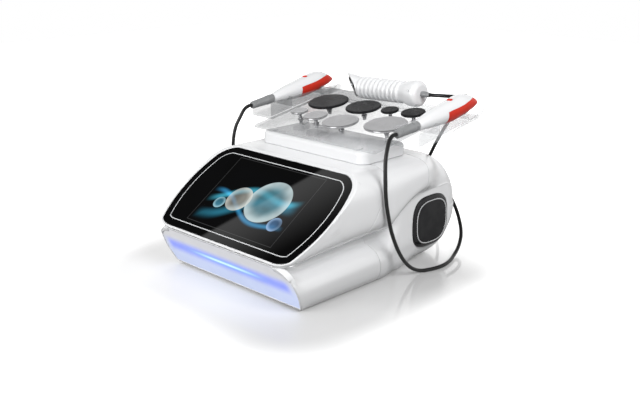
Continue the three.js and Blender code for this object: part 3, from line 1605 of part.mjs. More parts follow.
function plugSolid(x) {
  const start = rear.plateY + rear.plate + seatGap + leadSocket.proud + seatGap;
  const end = start + plug.length + plug.reliefLength;
  const profile = [
    new THREE.Vector2(0, start - plug.pinLength),
    new THREE.Vector2(plug.pinRadius, start - plug.pinLength),
    new THREE.Vector2(plug.pinRadius, start),
    new THREE.Vector2(plug.radius, start),
    new THREE.Vector2(plug.radius, start + plug.length * plug.gripShare),
    new THREE.Vector2(plug.radius - plug.shoulderDrop, start + plug.length * plug.shoulderShare),
    new THREE.Vector2(plug.reliefRadius, start + plug.length),
    new THREE.Vector2(plug.reliefEndRadius, end),
    new THREE.Vector2(0, end),
  ];
  const turned = new THREE.LatheGeometry(profile, plug.segments);
  turned.translate(x, 0, rear.socketZ);
  return turned;
}

function buildLeads() {
  const mirrored = handLeadRoute.map(([x, y, z]) => [-x, y, z]);
  const routes = { left: mirrored, grip: gripLeadRoute, right: handLeadRoute };
  for (const name of Object.keys(routes)) {
    add(`${name}_lead`, leadTube(routes[name]), materials.blackRubber);
    add(`${name}_plug`, plugSolid(leadSocket.places[name]), materials.blackRubber);
  }
}

buildHousing();
buildPodCaps();
buildDisplay();
buildLight();
buildInside();
buildFeet();
buildRearPanel();
buildSockets();
buildInlet();
buildFan();
buildPlinth();
buildTray();
buildElectrodes();
buildHandpieces();
buildGrip();
buildLeads();

export default machine;
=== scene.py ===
"""A desktop radio-frequency therapy machine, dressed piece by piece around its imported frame.

The file is laid out as an add-on: sizes and finishes are properties, each piece or group of like
pieces has an operator, and main() runs the operators in order. Lengths in the tables are millimetres,
and MM turns them into metres where a mesh is made. +X is the operator's right, +Y the back, +Z up.
"""

import math

import bmesh
import bpy
from bpy.props import FloatProperty, FloatVectorProperty, IntProperty, PointerProperty
from mathutils import Matrix, Vector


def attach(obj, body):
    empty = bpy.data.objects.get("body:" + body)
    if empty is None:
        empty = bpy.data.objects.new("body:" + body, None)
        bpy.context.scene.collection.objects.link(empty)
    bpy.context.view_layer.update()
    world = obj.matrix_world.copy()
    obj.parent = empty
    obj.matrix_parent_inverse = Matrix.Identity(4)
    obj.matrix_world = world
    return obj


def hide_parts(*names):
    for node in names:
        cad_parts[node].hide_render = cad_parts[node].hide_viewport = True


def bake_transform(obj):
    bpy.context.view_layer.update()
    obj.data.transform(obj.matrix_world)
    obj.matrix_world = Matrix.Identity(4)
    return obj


bl_info = {
    "name": "Desktop Therapy Machine",
    "version": (1, 0, 0),
    "blender": (4, 5, 0),
    "location": "View3D > Sidebar > Machine",
    "description": "Builds the housing, tray, handpieces and leads of a desktop therapy machine",
    "category": "Object",
}

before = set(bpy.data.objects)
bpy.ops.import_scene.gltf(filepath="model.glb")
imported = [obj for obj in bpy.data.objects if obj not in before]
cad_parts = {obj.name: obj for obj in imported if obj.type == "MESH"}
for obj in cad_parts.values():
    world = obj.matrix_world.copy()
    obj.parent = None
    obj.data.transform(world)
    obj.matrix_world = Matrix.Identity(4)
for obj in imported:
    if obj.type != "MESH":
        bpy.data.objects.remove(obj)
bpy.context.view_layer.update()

MM = 0.001
QUARTER_TURN = math.pi / 2
SIDES = (("left", -1), ("right", 1))

# Housing form, seen from the side
FLOOR_GAP = 2.5
TOP_HEIGHT = 181.0
HALF_WIDTH = 166.0
HALF_WIDTH_REAR = 160.0
SHOULDER_HALF = 95.0
SHOULDER_POWER = 3.3
BULGE_HEIGHT_FRONT = 131.0
BULGE_HEIGHT_REAR = 150.0
UNDERCUT_POWER_FRONT = 4.5
UNDERCUT_POWER_REAR = 2.4
LIP_HEIGHT = 80.0
LIP_FRONT_Y = -188.0
LIP_REAR_Y = -60.0
LIP_HALF = 139.0
CREASE_HALF = 147.0
CREASE_TOP = 124.0
CREASE_START = 5.0
CREASE_END = 95.0
CREASE_LIMIT_SHARE = 0.75
SEAM_HALF = 0.25

# Base moulding: half widths of its side from the bottom edge up to the neck, as shares
BASE_HALF = 154.0
BASE_HEIGHT_SHARES = (0, 0.035, 0.13, 0.28, 0.44, 0.54, 0.63, 0.7, 0.755, 0.8, 0.97, 0.985, 1)
BASE_WIDTH_SHARES = (0.928, 0.94, 0.968, 0.99, 1, 0.987, 0.961, 0.91, 0.85, 0.82, 0.82, 0.835, 0.9)
POD_WIDTH_SHARES = (0.93, 0.945, 0.975, 0.992, 1, 1, 1, 1, 1, 1, 1, 1, 1.005)
SPLIT_TOP = -24.0
SPLIT_BOTTOM = -6.0

# Pods
POD_HALF = 143.0
POD_TAIL_HALF = 146.0
POD_Y = 121.5
POD_Z = 84.0
POD_RADIUS = 88.6
POD_ROUNDING = 39.0
CROWN_Y = 100.0
CROWN_REACH = 110.1
CROWN_RISE = 97.0
BLEND_START = 0.0
BLEND_END = 45.0
CROWN_BLEND_END = 150.0
SEAM_LIP_Y = -61.5
SEAM_TOP_Y = 4.5
SEAM_REAR_Y = 92.0

# Rear panel opening
TUB_HALF = 92.0
TUB_LOW = 50.0
TUB_HIGH = 118.0

# Touch panel, in its own frame: u to the right, v up the slope, n out of the glass
PANEL_TILT = math.radians(33.8)
PANEL_Y = -268.3
PANEL_Z = 37.2
GLASS_LOW = 75.0
GLASS_HIGH = 252.7
GLASS_HALF = 161.5
GLASS_BOW = 19.0
LOW_CORNER = (22.0, 11.0)
HIGH_CORNER = (24.0, 28.0)
PANEL_RIM = 4.0
GLASS_DROP = 0.3
GLASS_THICK = 2.0
GLASS_GAP = 0.45
DISPLAY_HALF = 100.0
DISPLAY_LOW = 93.0
DISPLAY_HIGH = 238.0
PICTURE_INSET = 3.0
GLASS_MIDDLE = (GLASS_LOW + GLASS_HIGH) / 2
# Depth of the seat under the glass, and the softened edge of its wall
SEAT_DEPTH = GLASS_DROP + GLASS_THICK + 0.3
SEAT_EDGE = 0.35

# Slanted front face
FACE_TOP_Y = -208.9
FACE_TOP_Z = 74.1
FACE_BOTTOM_Y = -172.8
FACE_DEPTH = 8.0
FACE_FRAME = 3.0
FACE_INSET = 0.6
FACE_HEIGHT_SHARES = (0, 0.05, 0.14, 0.31, 0.48, 0.66, 0.83, 0.93, 0.98, 1)
FACE_WIDTH_SHARES = (0.925, 0.95, 0.968, 0.99, 1, 0.994, 0.962, 0.9, 0.83, 0.79)
GROOVE_FADE = 26.0
FACE_TILT = math.atan2(FACE_BOTTOM_Y - FACE_TOP_Y, FACE_TOP_Z)
FACE_INWARD = Vector((0, math.cos(FACE_TILT), math.sin(FACE_TILT)))

TRAY_TILT = math.radians(10)
DECK_AXIS = (0, -math.sin(TRAY_TILT), math.cos(TRAY_TILT))


def clamp(value, low=0.0, high=1.0):
    return max(low, min(high, value))


def mix(a, b, share):
    return a + (b - a) * share


def smooth(start, end, value):
    share = clamp((value - start) / (end - start))
    return share * share * (3 - 2 * share)


def soft_min(a, b, reach):
    gap = abs(a - b)
    if gap >= reach:
        return min(a, b)
    return min(a, b) - (reach - gap) ** 2 / (4 * reach)


def curve_through(places, values):
    """A smooth function through the given points, with no overshoot."""
    count = len(places)
    slopes = [(values[i + 1] - values[i]) / (places[i + 1] - places[i]) for i in range(count - 1)]
    tangents = [slopes[0]]
    for i in range(1, count - 1):
        a, b = slopes[i - 1], slopes[i]
        tangents.append(0.0 if a * b <= 0 else 2 * a * b / (a + b))
    tangents.append(slopes[-1])

    def value_at(x):
        x = clamp(x, places[0], places[-1])
        i = next((k for k in range(count - 1) if x <= places[k + 1]), count - 2)
        step = places[i + 1] - places[i]
        t = (x - places[i]) / step
        low = (1 + 2 * t) * (1 - t) ** 2 * values[i] + t * (1 - t) ** 2 * step * tangents[i]
        high = t * t * (3 - 2 * t) * values[i + 1] + t * t * (t - 1) * step * tangents[i + 1]
        return low + high

    return value_at


base_width = curve_through(BASE_HEIGHT_SHARES, BASE_WIDTH_SHARES)
pod_width = curve_through(BASE_HEIGHT_SHARES, POD_WIDTH_SHARES)
face_width = curve_through(FACE_HEIGHT_SHARES, FACE_WIDTH_SHARES)


# Form of the housing

def crease_share(y):
    return clamp((y - CREASE_START) / (CREASE_END - CREASE_START))


def lip_height(y):
    return mix(FACE_TOP_Z, LIP_HEIGHT, clamp((y - LIP_FRONT_Y) / (LIP_REAR_Y - LIP_FRONT_Y)))


def crease_height(y):
    return mix(lip_height(y), CREASE_TOP, 1 - (1 - crease_share(y)) ** 2)


def top_height(y):
    if y <= CROWN_Y:
        return TOP_HEIGHT
    run = min(1, (y - CROWN_Y) / CROWN_REACH)
    return POD_Z + (TOP_HEIGHT - POD_Z) * math.sqrt(1 - run * run)


def bottom_height(y):
    if y <= POD_Y:
        return FLOOR_GAP
    run = min(1, (y - POD_Y) / POD_RADIUS)
    return max(FLOOR_GAP, POD_Z - POD_RADIUS * math.sqrt(1 - run * run))


def rounding_loss(edge_distance):
    reach = max(0, POD_ROUNDING - max(0, edge_distance))
    return POD_ROUNDING - math.sqrt(POD_ROUNDING**2 - reach**2)


def pod_edge_distance(y, z):
    if z >= POD_Z:
        across = max(0, y - CROWN_Y) / CROWN_REACH
        up = (z - POD_Z) / (TOP_HEIGHT - POD_Z)
        return (1 - math.hypot(across, up)) * CROWN_RISE
    across = max(0, y - POD_Y) / POD_RADIUS
    down = (POD_Z - z) / POD_RADIUS
    return (1 - math.hypot(across, down)) * POD_RADIUS


def face_half_width(z):
    return BASE_HALF * face_width(clamp((z - FLOOR_GAP) / (FACE_TOP_Z - FLOOR_GAP)))


def lower_half_width(y, share):
    z = mix(bottom_height(y), crease_now(y), share)
    height = FLOOR_GAP + share * (LIP_HEIGHT - FLOOR_GAP)
    from_face = smooth(0, GROOVE_FADE, y - face_y(z))
    of_base = mix(face_half_width(height), BASE_HALF * base_width(share), from_face)
    of_pod = mix(POD_TAIL_HALF, POD_HALF, smooth(BLEND_END, CROWN_Y, y)) * pod_width(share)
    loss = rounding_loss(pod_edge_distance(y, z)) * smooth(BLEND_END, POD_Y, y)
    return mix(of_base, of_pod, smooth(BLEND_START, BLEND_END, y)) - loss


def upper_half_width(y, z):
    share = crease_share(y)
    bulge = mix(BULGE_HEIGHT_FRONT, BULGE_HEIGHT_REAR, share)
    widest = mix(HALF_WIDTH, HALF_WIDTH_REAR, share)
    crease = mix(LIP_HALF, CREASE_HALF, 1 - (1 - share) ** 4)
    if z < bulge:
        power = mix(UNDERCUT_POWER_FRONT, UNDERCUT_POWER_REAR, share)
        down = clamp((bulge - z) / (bulge - crease_height(y)))
        of_body = widest - (widest - crease) * down**power
    else:
        rise = clamp((z - bulge) / max(1, top_height(y) - bulge))
        of_body = mix(SHOULDER_HALF, widest, (1 - rise**SHOULDER_POWER) ** (1 / SHOULDER_POWER))
    of_pod = POD_HALF - rounding_loss(pod_edge_distance(y, z))
    return mix(of_body, of_pod, smooth(SEAM_REAR_Y, CROWN_BLEND_END, y))


def crease_now(y):
    return min(crease_height(y), mix(bottom_height(y), top_height(y), CREASE_LIMIT_SHARE))


def split_y(z):
    return mix(SPLIT_BOTTOM, SPLIT_TOP, z / LIP_HEIGHT)


def face_y(z):
    return mix(FACE_BOTTOM_Y, FACE_TOP_Y, z / FACE_TOP_Z)


# Panel frame

def panel_point(u, v, n=0.0):
    y = PANEL_Y + v * math.cos(PANEL_TILT) - n * math.sin(PANEL_TILT)
    z = PANEL_Z + v * math.sin(PANEL_TILT) + n * math.cos(PANEL_TILT)
    return (u, y, z)


def panel_v(y, z):
    return (y - PANEL_Y) * math.cos(PANEL_TILT) + (z - PANEL_Z) * math.sin(PANEL_TILT)


def panel_half_width(v, grow):
    half = (GLASS_HIGH - GLASS_LOW) / 2
    side = GLASS_HALF + grow - GLASS_BOW * ((v - GLASS_MIDDLE) / half) ** 2
    low = clamp(1 - (v - GLASS_LOW + grow) / (LOW_CORNER[1] + grow))
    high = clamp(1 - (GLASS_HIGH + grow - v) / (HIGH_CORNER[1] + grow))
    low_loss = (LOW_CORNER[0] + grow) * (1 - math.sqrt(1 - low * low))
    high_loss = (HIGH_CORNER[0] + grow) * (1 - math.sqrt(1 - high * high))
    return side - low_loss - high_loss


# Making meshes

# Points nearer than this in metres are one
WELD = 0.00002
# Edges that turn by more degrees than these stay sharp: at most pieces, mouldings, small parts, round parts
SHARP = 32.0
SHARP_MOULDING = 38.0
SHARP_SMALL = 40.0
SHARP_ROUND = 50.0
# A rounded corner takes one part in this many of each side beside it, at most
CORNER_PARTS = 2.2
# Open skins are turned away from one of these places, in metres
HOUSING_MIDDLE = Vector((0, 0.02, 0.09))
BASE_MIDDLE = Vector((0, -0.1, 0.04))


def placed(x, y, z):
    return Vector((x, y, z)) * MM


def lay_grid(form, rows, sides=(1, -1)):
    """Quads between rows of points in millimetres, and their mirror image unless one side is given."""
    for sign in sides:
        made = [[form.verts.new(placed(sign * x, y, z)) for x, y, z in row] for row in rows]
        for low, high in zip(made, made[1:]):
            for i in range(len(low) - 1):
                form.faces.new((low[i], low[i + 1], high[i + 1], high[i]))


def rounded_corner(before, corner, after, steps=3):
    """Points round a corner, from one place beside it to the other."""
    a, b, c = Vector(before), Vector(corner), Vector(after)
    points = []
    for i in range(steps + 1):
        t = i / steps
        points.append(tuple(a * (1 - t) ** 2 + b * (2 * t * (1 - t)) + c * t * t))
    return points


def toward(start, goal, length):
    """The place a length away from start on the way to goal."""
    step = Vector(goal) - Vector(start)
    if step.length < WELD:
        return tuple(start)
    return tuple(Vector(start) + step * min(1, length / step.length))


def close_up(form, middle=None):
    """Merges doubles and turns the faces outwards; an open skin is turned away from the middle."""
    bmesh.ops.remove_doubles(form, verts=form.verts, dist=WELD)
    bmesh.ops.dissolve_degenerate(form, edges=form.edges, dist=WELD / 2)
    bmesh.ops.recalc_face_normals(form, faces=form.faces)
    if middle is None:
        return
    outward = 0.0
    for face in form.faces:
        outward += face.normal.dot(face.calc_center_median() - middle) * face.calc_area()
    if outward < 0:
        bmesh.ops.reverse_faces(form, faces=form.faces)


def add_piece(name, form, finish, sharp=SHARP):
    """A new object from a bmesh, smooth apart from its sharp edges."""
    mesh = bpy.data.meshes.new(name)
    form.to_mesh(mesh)
    form.free()
    piece = bpy.data.objects.new(name, mesh)
    bpy.context.collection.objects.link(piece)
    mesh.materials.append(finish_of(finish))
    smooth_piece(piece, sharp)
    return piece


def smooth_piece(piece, sharp):
    piece.data.shade_smooth()
    piece.data.set_sharp_from_angle(angle=math.radians(sharp))


def settle(piece, sharp=SHARP):
    """Turns the piece's modifiers into plain mesh."""
    bpy.context.view_layer.update()
    evaluated = piece.evaluated_get(bpy.context.evaluated_depsgraph_get())
    mesh = bpy.data.meshes.new_from_object(evaluated)
    old = piece.data
    piece.modifiers.clear()
    piece.data = mesh
    bpy.data.meshes.remove(old)
    mesh.name = piece.name
    smooth_piece(piece, sharp)
    return piece


def add_bevel(piece, edge, segments, limit):
    bevel = piece.modifiers.new("Edges", "BEVEL")
    bevel.width = edge * MM
    bevel.segments = segments
    bevel.limit_method = "ANGLE"
    bevel.angle_limit = math.radians(limit)
    return bevel


def round_edges(piece, edge, segments=2, limit=30.0, sharp=SHARP):
    add_bevel(piece, edge, segments, limit)
    return settle(piece, sharp)


def thicken(piece, wall, edge, segments=2, sharp=SHARP):
    """Gives a skin its wall, inwards, and rounds its edges."""
    solid = piece.modifiers.new("Wall", "SOLIDIFY")
    solid.thickness = wall * MM
    solid.offset = -1
    solid.use_quality_normals = True
    if edge:
        add_bevel(piece, edge, segments, 40).use_clamp_overlap = False
    return settle(piece, sharp)


def cut(piece, tools, sharp=SHARP, operation="DIFFERENCE"):
    """Cuts with other solids, exactly, and removes them."""
    for tool in tools:
        step = piece.modifiers.new("Cut", "BOOLEAN")
        step.operation = operation
        step.solver = "EXACT"
        step.object = tool
    settle(piece, sharp)
    for tool in tools:
        bpy.data.objects.remove(tool)
    return piece


def fan_fill(form, ring):
    middle = form.verts.new(sum((vert.co for vert in ring), Vector()) / len(ring))
    for a, b in zip(ring, ring[1:] + ring[:1]):
        form.faces.new((a, b, middle))


def wrap_rings(form, rings, layer=None, heights=None):
    """Quads round closed rings; a UV layer takes the share of the turn and the ring's height."""
    count = len(rings[0])
    for k in range(len(rings) - 1):
        for i in range(count):
            j = (i + 1) % count
            face = form.faces.new((rings[k][i], rings[k][j], rings[k + 1][j], rings[k + 1][i]))
            if layer is None:
                continue
            corners = ((i, k), (i + 1, k), (i + 1, k + 1), (i, k + 1))
            for loop, (across, along) in zip(face.loops, corners):
                loop[layer].uv = (across / count, heights[along])


def lofted(name, rings, finish, sharp=SHARP, ends=True):
    """A skin round closed rings of points in millimetres, with its ends filled where it has any."""
    form = bmesh.new()
    made = [[form.verts.new(placed(*point)) for point in ring] for ring in rings]
    wrap_rings(form, made)
    if ends:
        fan_fill(form, made[0])
        fan_fill(form, made[-1])
    close_up(form)
    return add_piece(name, form, finish, sharp)


def lathe(name, profile, place, axis, finish, segments=64, sharp=SHARP):
    """A turned piece: the profile holds (radius, height) along the axis, in millimetres."""
    form = bmesh.new()
    layer = form.loops.layers.uv.new("Turned")
    frame_of_axis = Vector((0, 0, 1)).rotation_difference(Vector(axis)).to_matrix()
    origin = Vector(place)
    rings = []
    for radius, height in profile:
        ring = []
        for i in range(segments):
            angle = 2 * math.pi * i / segments
            local = Vector((radius * math.cos(angle), radius * math.sin(angle), height))
            ring.append(form.verts.new((frame_of_axis @ local + origin) * MM))
        rings.append(ring)
    lengths = [0.0]
    for start, end in zip(profile, profile[1:]):
        lengths.append(lengths[-1] + math.dist(start, end))
    wrap_rings(form, rings, layer, [length * MM for length in lengths])
    close_up(form)
    return add_piece(name, form, finish, sharp)


def rounded_outline(points, radius, closed=True):
    """An outline with its corners rounded; an open one keeps its two ends."""
    result = []
    last = len(points) - 1
    for i, corner in enumerate(points):
        if not closed and i in (0, last):
            result.append(corner)
            continue
        beside = []
        for end in (points[i - 1], points[(i + 1) % len(points)]):
            reach = min(radius, math.dist(corner, end) / CORNER_PARTS)
            beside.append(toward((*corner, 0), (*end, 0), reach))
        result += [point[:2] for point in rounded_corner(beside[0], (*corner, 0), beside[1], 5)]
    return result


def solid_box(name, low, high, finish, edge=0.0):
    """A box between two corners in millimetres, with rounded edges where asked."""
    form = bmesh.new()
    bmesh.ops.create_cube(form, size=1)
    size = [high[k] - low[k] for k in range(3)]
    middle = [(high[k] + low[k]) / 2 for k in range(3)]
    for vert in form.verts:
        vert.co = placed(*(middle[k] + vert.co[k] * size[k] for k in range(3)))
    piece = add_piece(name, form, finish)
    if edge:
        round_edges(piece, edge)
    return piece


def slab(name, outline, low, high, finish, axis=0):
    """A plate between two places along an axis, 0 for X or 2 for Z, with its outline across it."""
    form = bmesh.new()
    bottom, top = (
        [form.verts.new(placed(*point[:axis], level, *point[axis:])) for point in outline]
        for level in (low, high)
    )
    form.faces.new(bottom)
    form.faces.new(top)
    wrap_rings(form, (bottom, top))
    close_up(form)
    return add_piece(name, form, finish)


PLATE_SLOTS = ("black_glass", "clear_acrylic")
# A plate's faces over this area in square millimetres are wide; slim quads up to this side aren't
WIDE_FACE = 40
WIDE_SIDE = 3


def flatten_plates(piece):
    """Keeps the wide faces of plates from taking the slant of their rounded edges."""
    mesh = piece.data
    for face in mesh.polygons:
        ends = [mesh.vertices[index].co for index in face.vertices]
        shortest = min((a - b).length for a, b in zip(ends, ends[1:] + ends[:1]))
        slim = len(ends) == 4 and shortest <= WIDE_SIDE * MM
        if face.area > WIDE_FACE * MM * MM and not slim:
            face.use_smooth = False


def dress(piece, body, nodes, slot=None):
    """Rides a piece on its body in place of its CAD nodes; the slot given, or else that of its finish, tells
    whether a plate's wide faces are shaded flat.
    """
    slot = slot or piece.data.materials[0].name.removesuffix("_finish")
    if slot in PLATE_SLOTS:
        flatten_plates(piece)
    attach(piece, body)
    if nodes:
        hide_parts(*nodes)
    return piece


def join(name, pieces, finish):
    """One piece from several."""
    form = bmesh.new()
    for piece in pieces:
        form.from_mesh(piece.data)
        bpy.data.objects.remove(piece)
    return add_piece(name, form, finish)


# Making pieces with geometry nodes

def new_group(name, kinds):
    """A geometry tree, the outputs of its inputs by name, and their identifiers by name."""
    tree = bpy.data.node_groups.new(name, "GeometryNodeTree")
    tree.interface.new_socket("Geometry", in_out="OUTPUT", socket_type="NodeSocketGeometry")
    sockets = {}
    for key, kind in kinds.items():
        made = tree.interface.new_socket(key, in_out="INPUT", socket_type=f"NodeSocket{kind}")
        sockets[key] = made.identifier
    return tree, tree.nodes.new("NodeGroupInput").outputs, sockets


def end_group(tree, laid, finish):
    """Lays instances on points and ends the tree in plain mesh with its finish."""
    laid = node_from("GeometryNodeInstanceOnPoints", laid)
    real = node_from("GeometryNodeRealizeInstances", {"Geometry": laid.outputs[0]})
    inputs = {"Geometry": real.outputs[0], "Material": finish_of(finish)}
    painted = node_from("GeometryNodeSetMaterial", inputs)
    feed(tree.nodes.new("NodeGroupOutput").inputs[0], painted.outputs[0])


def node_made_piece(name, mesh, tree, inputs):
    """A piece whose mesh comes from a tree of geometry nodes."""
    piece = bpy.data.objects.new(name, mesh)
    bpy.context.collection.objects.link(piece)
    maker = piece.modifiers.new("Maker", "NODES")
    maker.node_group = tree
    for identifier, value in inputs.items():
        maker[identifier] = value
    return settle(piece)


# Materials

GLASS_SHEEN = {"IOR": 1.52, "Coat_Weight": 0.4, "Coat_Roughness": 0.01}
GLASS_ROUGHNESS = (0.012, 0.022)
# Share of its cover that the acrylic has for the light which falls through it
ACRYLIC_SHADE = 0.08
# The line of light on the front panel: its height, and the X that it is symmetric about, in metres
GLOW_LINE_Z = 0.0405
GLOW_MIDDLE_X = -0.001
# Width of each band of light, where it starts to fade and ends along X in metres, and its colour
GLOW_BANDS = (
    (0.017, 0.130, 0.148, (0.14, 0.22, 0.92)),
    (0.009, 0.020, 0.118, (0.10, 0.34, 1.0)),
    (0.0042, 0.012, 0.098, (0.62, 0.97, 1.0)),
)
# Waves on the display: height and slope of their middle, width, phase and colour
WAVES = (
    (0.148, 0.32, 0.016, 0.9, (0.02, 0.16, 0.24)),
    (0.172, 0.18, 0.010, 2.1, (0.05, 0.34, 0.46)),
    (0.139, -0.22, 0.007, 4.0, (0.03, 0.22, 0.42)),
)
WAVE_TURNS = 38
WAVE_SWING = 0.011
# Discs on the display: centre, radius, and the colours of their inside and their rim
BUBBLES = (
    ((0.028, 0.168), 0.041, (0.10, 0.27, 0.33), (0.62, 0.76, 0.78)),
    ((-0.030, 0.158), 0.024, (0.30, 0.30, 0.27), (0.75, 0.76, 0.70)),
    ((-0.062, 0.142), 0.011, (0.06, 0.24, 0.34), (0.40, 0.70, 0.80)),
    ((0.071, 0.134), 0.013, (0.05, 0.16, 0.34), (0.35, 0.55, 0.85)),
)
# Moulded finishes: colour, roughness, strength of the grain, drift of the colour, specular level or coat
MOULDED = {
    "light_strip": ((0.35, 0.45, 0.95), 0.3, 0.04, 0.96, {}),
    "black_gloss": ((0.008, 0.008, 0.009), 0.14, 0.02, 0.96, {"Specular_IOR_Level": 0.3}),
    "charcoal_satin": ((0.014, 0.014, 0.015), 0.5, 0.1, 0.96, {"Specular_IOR_Level": 0.2}),
    "silver_print": ((0.62, 0.63, 0.64), 0.4, 0.04, 0.94, {}),
    "dark_coating": ((0.013, 0.013, 0.014), 0.26, 0.03, 1.1, {"Specular_IOR_Level": 0.05}),
    "grey_plastic": ((0.24, 0.245, 0.25), 0.3, 0.05, 0.96, {"Coat_Weight": 0.2}),
    "black_plastic": ((0.02, 0.02, 0.022), 0.48, 0.2, 0.96, {}),
}
# Drawn or cast metals: colour and roughness
BRUSHED = {
    "silver_trim": ((0.72, 0.73, 0.74), 0.22),
    "sheet_metal": ((0.46, 0.47, 0.48), 0.38),
    "bare_aluminium": ((0.56, 0.57, 0.58), 0.32),
}


def rgba(colour):
    """A colour as a node takes it; a socket stays as it is."""
    return colour if isinstance(colour, bpy.types.NodeSocket) else (*colour, 1)


def new_finish(name, colour, roughness, **values):
    """The shader of a new material, which holds these plain values."""
    material = bpy.data.materials.new(f"{name}_finish")
    material.use_nodes = True
    shader = material.node_tree.nodes["Principled BSDF"]
    values = {"Base_Color": rgba(colour), "Roughness": roughness, **values}
    for key, value in values.items():
        shader.inputs[key.replace("_", " ")].default_value = value
    return shader


def feed(socket, value):
    """Links a socket to another one, or gives it a plain value."""
    if isinstance(value, bpy.types.NodeSocket):
        socket.id_data.links.new(value, socket)
    else:
        socket.default_value = value


def place_node(tree, kind, inputs=None, **settings):
    node = tree.nodes.new(kind)
    for key, value in settings.items():
        setattr(node, key, value)
    for key, value in (inputs or {}).items():
        feed(node.inputs[key], value)
    return node


def node_from(kind, inputs, **settings):
    """A node in the tree of the first socket among its inputs."""
    linked = next(value for value in inputs.values() if isinstance(value, bpy.types.NodeSocket))
    return place_node(linked.id_data, kind, inputs, **settings)


def math_of(operation, *values):
    return node_from("ShaderNodeMath", dict(enumerate(values)), operation=operation).outputs[0]


def product(*values):
    """All the values multiplied, from left to right."""
    result = values[0]
    for value in values[1:]:
        result = math_of("MULTIPLY", result, value)
    return result


def vector_of(operation, *values):
    """Outputs of a step of vector arithmetic: the vector first, and its Value."""
    return node_from("ShaderNodeVectorMath", dict(enumerate(values)), operation=operation).outputs


def mix_values(share, first, second):
    return node_from("ShaderNodeMix", {0: share, 2: first, 3: second}).outputs[0]


def mix_colours(share, first, second, blend="MIX"):
    inputs = {0: share, 6: rgba(first), 7: rgba(second)}
    return node_from("ShaderNodeMix", inputs, data_type="RGBA", blend_type=blend).outputs[2]


def parts_of(vector):
    return node_from("ShaderNodeSeparateXYZ", {"Vector": vector}).outputs


def object_place(shader):
    return place_node(shader.id_data, "ShaderNodeTexCoord").outputs["Object"]


def rays_of(shader):
    """What kind of ray meets the surface or the sky."""
    return place_node(shader.id_data, "ShaderNodeLightPath").outputs


def noise_of(place, scale, detail=3.0):
    inputs = {"Vector": place, "Scale": scale, "Detail": detail, "Roughness": 0.5}
    return node_from("ShaderNodeTexNoise", inputs).outputs["Fac"]


def spread(value, low, high, start=0.35, end=0.65):
    inputs = {"Value": value, "From Min": start, "From Max": end, "To Min": low, "To Max": high}
    return node_from("ShaderNodeMapRange", inputs, interpolation_type="SMOOTHSTEP").outputs[0]


def vary_roughness(shader, place, low, high, scale):
    feed(shader.inputs["Roughness"], spread(noise_of(place, scale), low, high))


def raise_bumps(shader, height, strength, distance):
    inputs = {"Height": height, "Strength": strength, "Distance": distance}
    feed(shader.inputs["Normal"], node_from("ShaderNodeBump", inputs).outputs["Normal"])


def vary_colour(shader, place, first, second, scale):
    share = spread(noise_of(place, scale, 4.0), 0, 1)
    feed(shader.inputs["Base Color"], mix_colours(share, first, second))


def scaled(colour, factor):
    return tuple(min(1, channel * factor) for channel in colour)


def moulded_finish(name, colour, roughness, grain, drift, values):
    """Moulded plastic or rubber: a slight drift of colour and gloss, and a fine grain."""
    shader = new_finish(name, colour, roughness, **values)
    place = object_place(shader)
    vary_colour(shader, place, colour, scaled(colour, drift), 9)
    vary_roughness(shader, place, roughness * 0.85, roughness * 1.25, 30)
    raise_bumps(shader, noise_of(place, 900.0, 2.0), grain, 0.0002)


def white_gloss_finish(white):
    """Gloss white moulding: a clear coat, and a very slight drift of colour and gloss."""
    shader = new_finish("white_gloss", white, 0.24, IOR=1.49, Coat_Weight=0.6, Coat_Roughness=0.05)
    place = object_place(shader)
    vary_colour(shader, place, white, scaled(white, 0.985), 5)
    vary_roughness(shader, place, 0.235, 0.26, 8)


def frosted_panel_finish(glow):
    """Frosted panel lit from behind: a hot line of blue light that fades into lavender and pale grey."""
    grey = (0.22, 0.22, 0.24)
    shader = new_finish("frosted_panel", grey, 0.34, Coat_Weight=0.3, Emission_Strength=glow)
    place = object_place(shader)
    x, _, z = parts_of(place)
    light = mix_colours(spread(z, 0, 1, 0.022, 0.062), (0.46, 0.54, 0.78), (0.52, 0.52, 0.53))
    from_middle = math_of("ABSOLUTE", math_of("SUBTRACT", x, GLOW_MIDDLE_X))
    from_line = math_of("ABSOLUTE", math_of("SUBTRACT", z, GLOW_LINE_Z))
    for width, half, tail, colour in GLOW_BANDS:
        across = spread(from_line, 1, 0, 0, width)
        along = spread(from_middle, 1, 0, half, tail)
        light = mix_colours(product(across, along), light, colour)
    cloud = spread(noise_of(place, 45, 2.0), 0.96, 1.0)
    feed(shader.inputs["Emission Color"], mix_colours(1.0, light, cloud, "MULTIPLY"))
    vary_colour(shader, place, grey, (0.20, 0.20, 0.22), 20)
    raise_bumps(shader, noise_of(place, 1500, 2.0), 0.06, 0.0001)


def panel_place(shader):
    """Coordinates on the touch panel: X across it and Y up its slope, in metres."""
    inputs = {"Vector": object_place(shader), "Rotation": (-PANEL_TILT, 0, 0)}
    turned = node_from("ShaderNodeMapping", inputs, vector_type="POINT").outputs[0]
    shift = (0, -PANEL_Y * math.cos(PANEL_TILT) * MM - PANEL_Z * math.sin(PANEL_TILT) * MM, 0)
    return vector_of("ADD", turned, shift)[0]


def black_glass_finish():
    """Black printed glass: deep and clear, with a few faint smears."""
    shader = new_finish("black_glass", (0.001, 0.001, 0.001), 0.02, **GLASS_SHEEN)
    place = object_place(shader)
    vary_colour(shader, place, (0.0008, 0.0008, 0.0009), (0.0014, 0.0014, 0.0016), 14)
    vary_roughness(shader, place, *GLASS_ROUGHNESS, 9)


def distance_to(u, v, centre):
    """Distance on the panel from a centre."""
    squares = []
    for value, middle in zip((u, v), centre):
        step = math_of("SUBTRACT", value, middle)
        squares.append(product(step, step))
    return math_of("SQRT", math_of("ADD", *squares))


